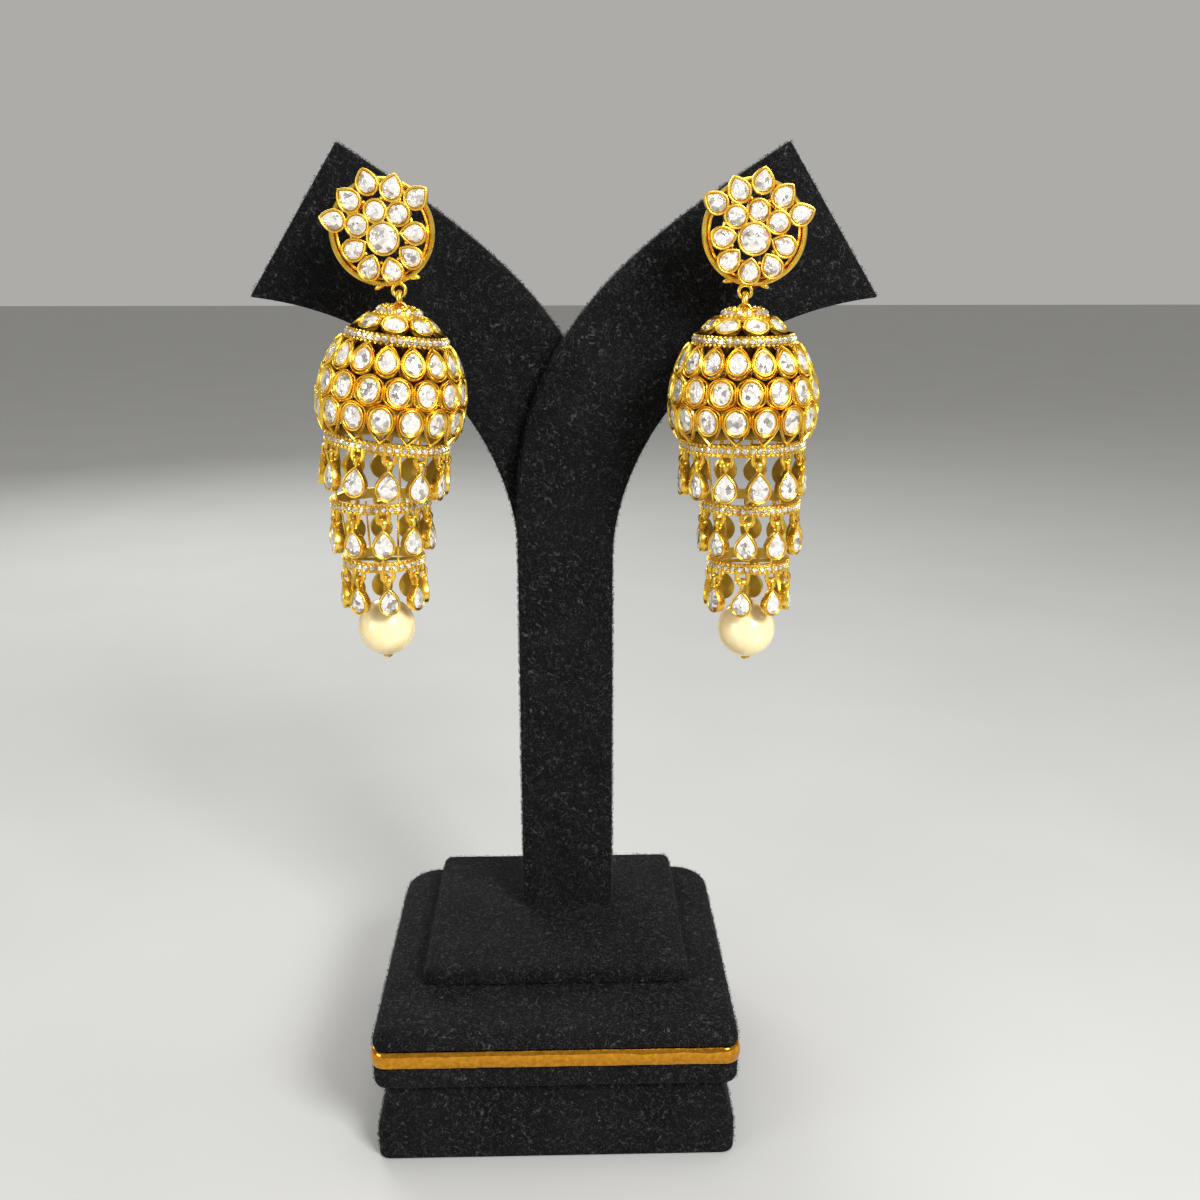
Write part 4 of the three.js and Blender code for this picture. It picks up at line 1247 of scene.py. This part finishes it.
# %% One tier
def hang_tier(side, level, first, axis, lean):
    """Makes one tier's metal, and gives back its white stones and its crystals, each in a list."""
    tier = TIERS[level]
    sizes = (tier["count"], tier["ring"], tier["width"], tier["length"], tier["tip"])
    drops, stones = tier_drops(*sizes, first, level)
    parts, crystals = [drops], []
    if level:
        band, gems = crystal_band(tier["ring"] + 0.12, -0.15, 1.7, tier["gems"], inner=0.7)
        ring_above = (TIERS[level - 1]["ring"] - 0.9, TIER_PITCH - 0.5)
        parts += [band, hangers(4, ring_above, (tier["ring"] - 0.4, BAND_HEIGHT / 2))]
        crystals.append(gems)
    if level == len(TIERS) - 1:
        bar = np.linspace((-BAR_HALF, 0, BAND_HEIGHT / 2), (BAR_HALF, 0, BAND_HEIGHT / 2), 5)
        parts.append(tube(bar, 0.3, (0, 0, 1), sides=8))
    metal = joined(parts)
    foot = (0, 0, BELL_FOOT - level * TIER_PITCH)
    hung, stones, *crystals = (
        leaning(moved(part, foot), axis, lean) for part in (metal, stones, *crystals)
    )
    name = f"{side}_tier_{level + 1}"
    ring = make_piece(f"{name}_metal", hung, gold, f"{side}_drop", [f"{name}_drops"])
    # The backs of the drops get part of the painted shade and dullness of the bell's inside
    mark_painted_shade(ring, BACK_PAINTED_SHADE_AND_DULLNESS * inside_of(metal["verts"], tier["ring"] - 0.35))
    return [stones], crystals

# %% [markdown]
# ### Hang them
# The first tier is soldered under the bell, so it leans with it. The rings below hang plumb from where
# the leaning bell ends.

# %% Hang both earrings
for side, how in HANG.items():
    hinge, lean = joints[f"{side}_drop_sway"], how["lean"]
    plumb = hinge + np.array([BELL_FOOT * math.sin(math.radians(lean)) + how["hang"], 0, 0])
    crystals = [hang_bell(side, hinge, lean)]
    drop_stones = []
    for level, first in enumerate(how["drops"]):
        line = (plumb, 0.0) if level else (hinge, lean)
        stones, gems = hang_tier(side, level, first, *line)
        drop_stones += stones
        crystals += gems
    body = f"{side}_drop"
    make_piece(f"{side}_drop_stones", joined(drop_stones), stone_finish, body, smooth=False)
    make_piece(f"{side}_crystals", joined(crystals), gem_finish, body, smooth=False)
    how["plumb"] = plumb

# %% [markdown]
# ## The pearls
# A pearl hangs on a head pin: the pin goes up through it and ends in an eye over a bar in the last
# ring. Below, the pin's flat head shows as a small gold dot. The pearl is a sphere with a fine bore.

# %% Pearls and their pins
PEARL_RADIUS, BORE = 5.0, 0.5
PEARL_BELOW = 11.4  # from the last ring's underside down to the pearl's middle
PIN_EYE, EYE_WIRE = 0.85, 0.22


def pearl():
    """A circle arc of (radius, height) from bore to bore, carried round the axis, closed by the bore."""
    start = math.asin(BORE / PEARL_RADIUS)
    v = np.linspace(start, np.pi - start, 40)
    return turned(PEARL_RADIUS * np.stack([np.sin(v), np.cos(v)], -1), 64)


def pin(bar):
    """A straight wire with a flat head under the pearl and an eye round the bar above it."""
    low = -PEARL_RADIUS - 0.25
    shank = tube(np.linspace((0, 0, low), (0, 0, bar - PIN_EYE), 6), 0.33, (1, 0, 0), sides=10)
    head = moved(ball(0.82, 14, 8, 0.4), (0, 0, low - 0.05))
    eye = hoop(PIN_EYE, EYE_WIRE, 24, 8)
    sideways = np.array([[0, 1, 0], [0, 0, 1], [1, 0, 0]])
    return joined([shank, head, moved(eye, (0, 0, bar), sideways)])


for side, how in HANG.items():
    ring_z = BELL_FOOT - (len(TIERS) - 1) * TIER_PITCH
    middle = how["plumb"] + np.array([0, 0, ring_z - PEARL_BELOW])
    bar = PEARL_BELOW + BAND_HEIGHT / 2
    body = f"{side}_drop"
    make_piece(f"{side}_pearl_bead", moved(pearl(), middle), pearl_finish, body, [f"{side}_pearl"])
    make_piece(f"{side}_head_pin", moved(pin(bar), middle), gold, body, [f"{side}_pearl_pin"])

# %% [markdown]
# ## Studio
# A plain pale floor, a grey world and soft lamps. Polished metal shows what stands around it, so the
# world is kept darker than the lamps: that gives the gold its bright bands and brown shades. The key
# lamp is high at the front right, as the shadow of the post on the step shows. The plain sRGB view
# keeps the gold's strong yellow, which the filmic view would turn pale.

# %% Floor, world and lamps
def floor():
    """A pale painted board: a matt grey with a faint mottle."""
    material, tree, shader, place = new_finish("pale_floor")
    cloud = add(tree, "ShaderNodeTexNoise", {"Vector": place, "Scale": per_mm(60.0), "Detail": 2.0})
    tones = {0.0: "#B6B6B4", 1.0: "#BEBEBC"}
    ramp = add(tree, "ShaderNodeValToRGB", {"Fac": cloud.outputs["Fac"]}, tones)
    colour = ramp.outputs["Color"]
    feed(tree, shader, {"Base Color": colour, "Roughness": 0.8})
    mesh = bpy.data.meshes.new("floor")
    half = 3.0  # metres, far past what the camera sees
    corners = [(-half, -half, 0), (half, -half, 0), (half, half, 0), (-half, half, 0)]
    mesh.from_pydata(corners, [], [(0, 1, 2, 3)])
    mesh.materials.append(material)
    board_floor = bpy.data.objects.new("floor", mesh)
    bpy.context.scene.collection.objects.link(board_floor)


def lamp(name, place, target, size, power):
    """A square soft lamp at a place in metres that faces a target."""
    data = bpy.data.lights.new(name, "AREA")
    data.shape, data.size, data.energy = "SQUARE", size, power
    made = bpy.data.objects.new(name, data)
    made.location = place
    aim = np.asarray(target) - np.asarray(place)
    yaw, pitch = math.atan2(-aim[0], aim[1]), math.atan2(aim[2], math.hypot(aim[0], aim[1]))
    made.rotation_euler = (math.pi / 2 + pitch, 0, yaw)
    bpy.context.scene.collection.objects.link(made)


floor()
MIDDLE = (0, 0, 0.1)  # what the lamps face, in metres
lamp("key", (0.28, -0.42, 0.42), MIDDLE, 0.2, 4.2)
lamp("fill", (-0.5, -0.35, 0.22), MIDDLE, 0.3, 1.0)
lamp("rim", (-0.25, 0.5, 0.4), MIDDLE, 0.3, 1.6)
lamp("top", (0.05, 0.05, 0.6), MIDDLE, 0.3, 1.0)
world = bpy.data.worlds.new("studio")
world.use_nodes = True
backdrop = {"Color": linear("#BAB9B6"), "Strength": 0.85}
feed(world.node_tree, world.node_tree.nodes["Background"], backdrop)
bpy.context.scene.world = world
bpy.context.scene.view_settings.view_transform = "Standard"

# %% [markdown]
# ## The camera
# The camera was worked out from the square base, the upright sides of the post and the level arms. It
# stands 22 cm in front of the post, a little above the earrings' middle, and looks 15.5 degrees down.

# %% The camera at the photograph's angle
LOOKING_DOWN, TURNED_RIGHT = 15.5, 1.6
data = bpy.data.cameras.new("camera")
data.lens = 39.0
data.sensor_width = 36.0
data.clip_start = 0.01
camera = bpy.data.objects.new("camera", data)
camera.location = (-0.0001, -0.2226, 0.1537)
camera.rotation_euler = (math.radians(90 - LOOKING_DOWN), 0, math.radians(-TURNED_RIGHT))
bpy.context.scene.collection.objects.link(camera)
bpy.context.scene.camera = camera
print("camera", [round(value, 3) for value in camera.location])
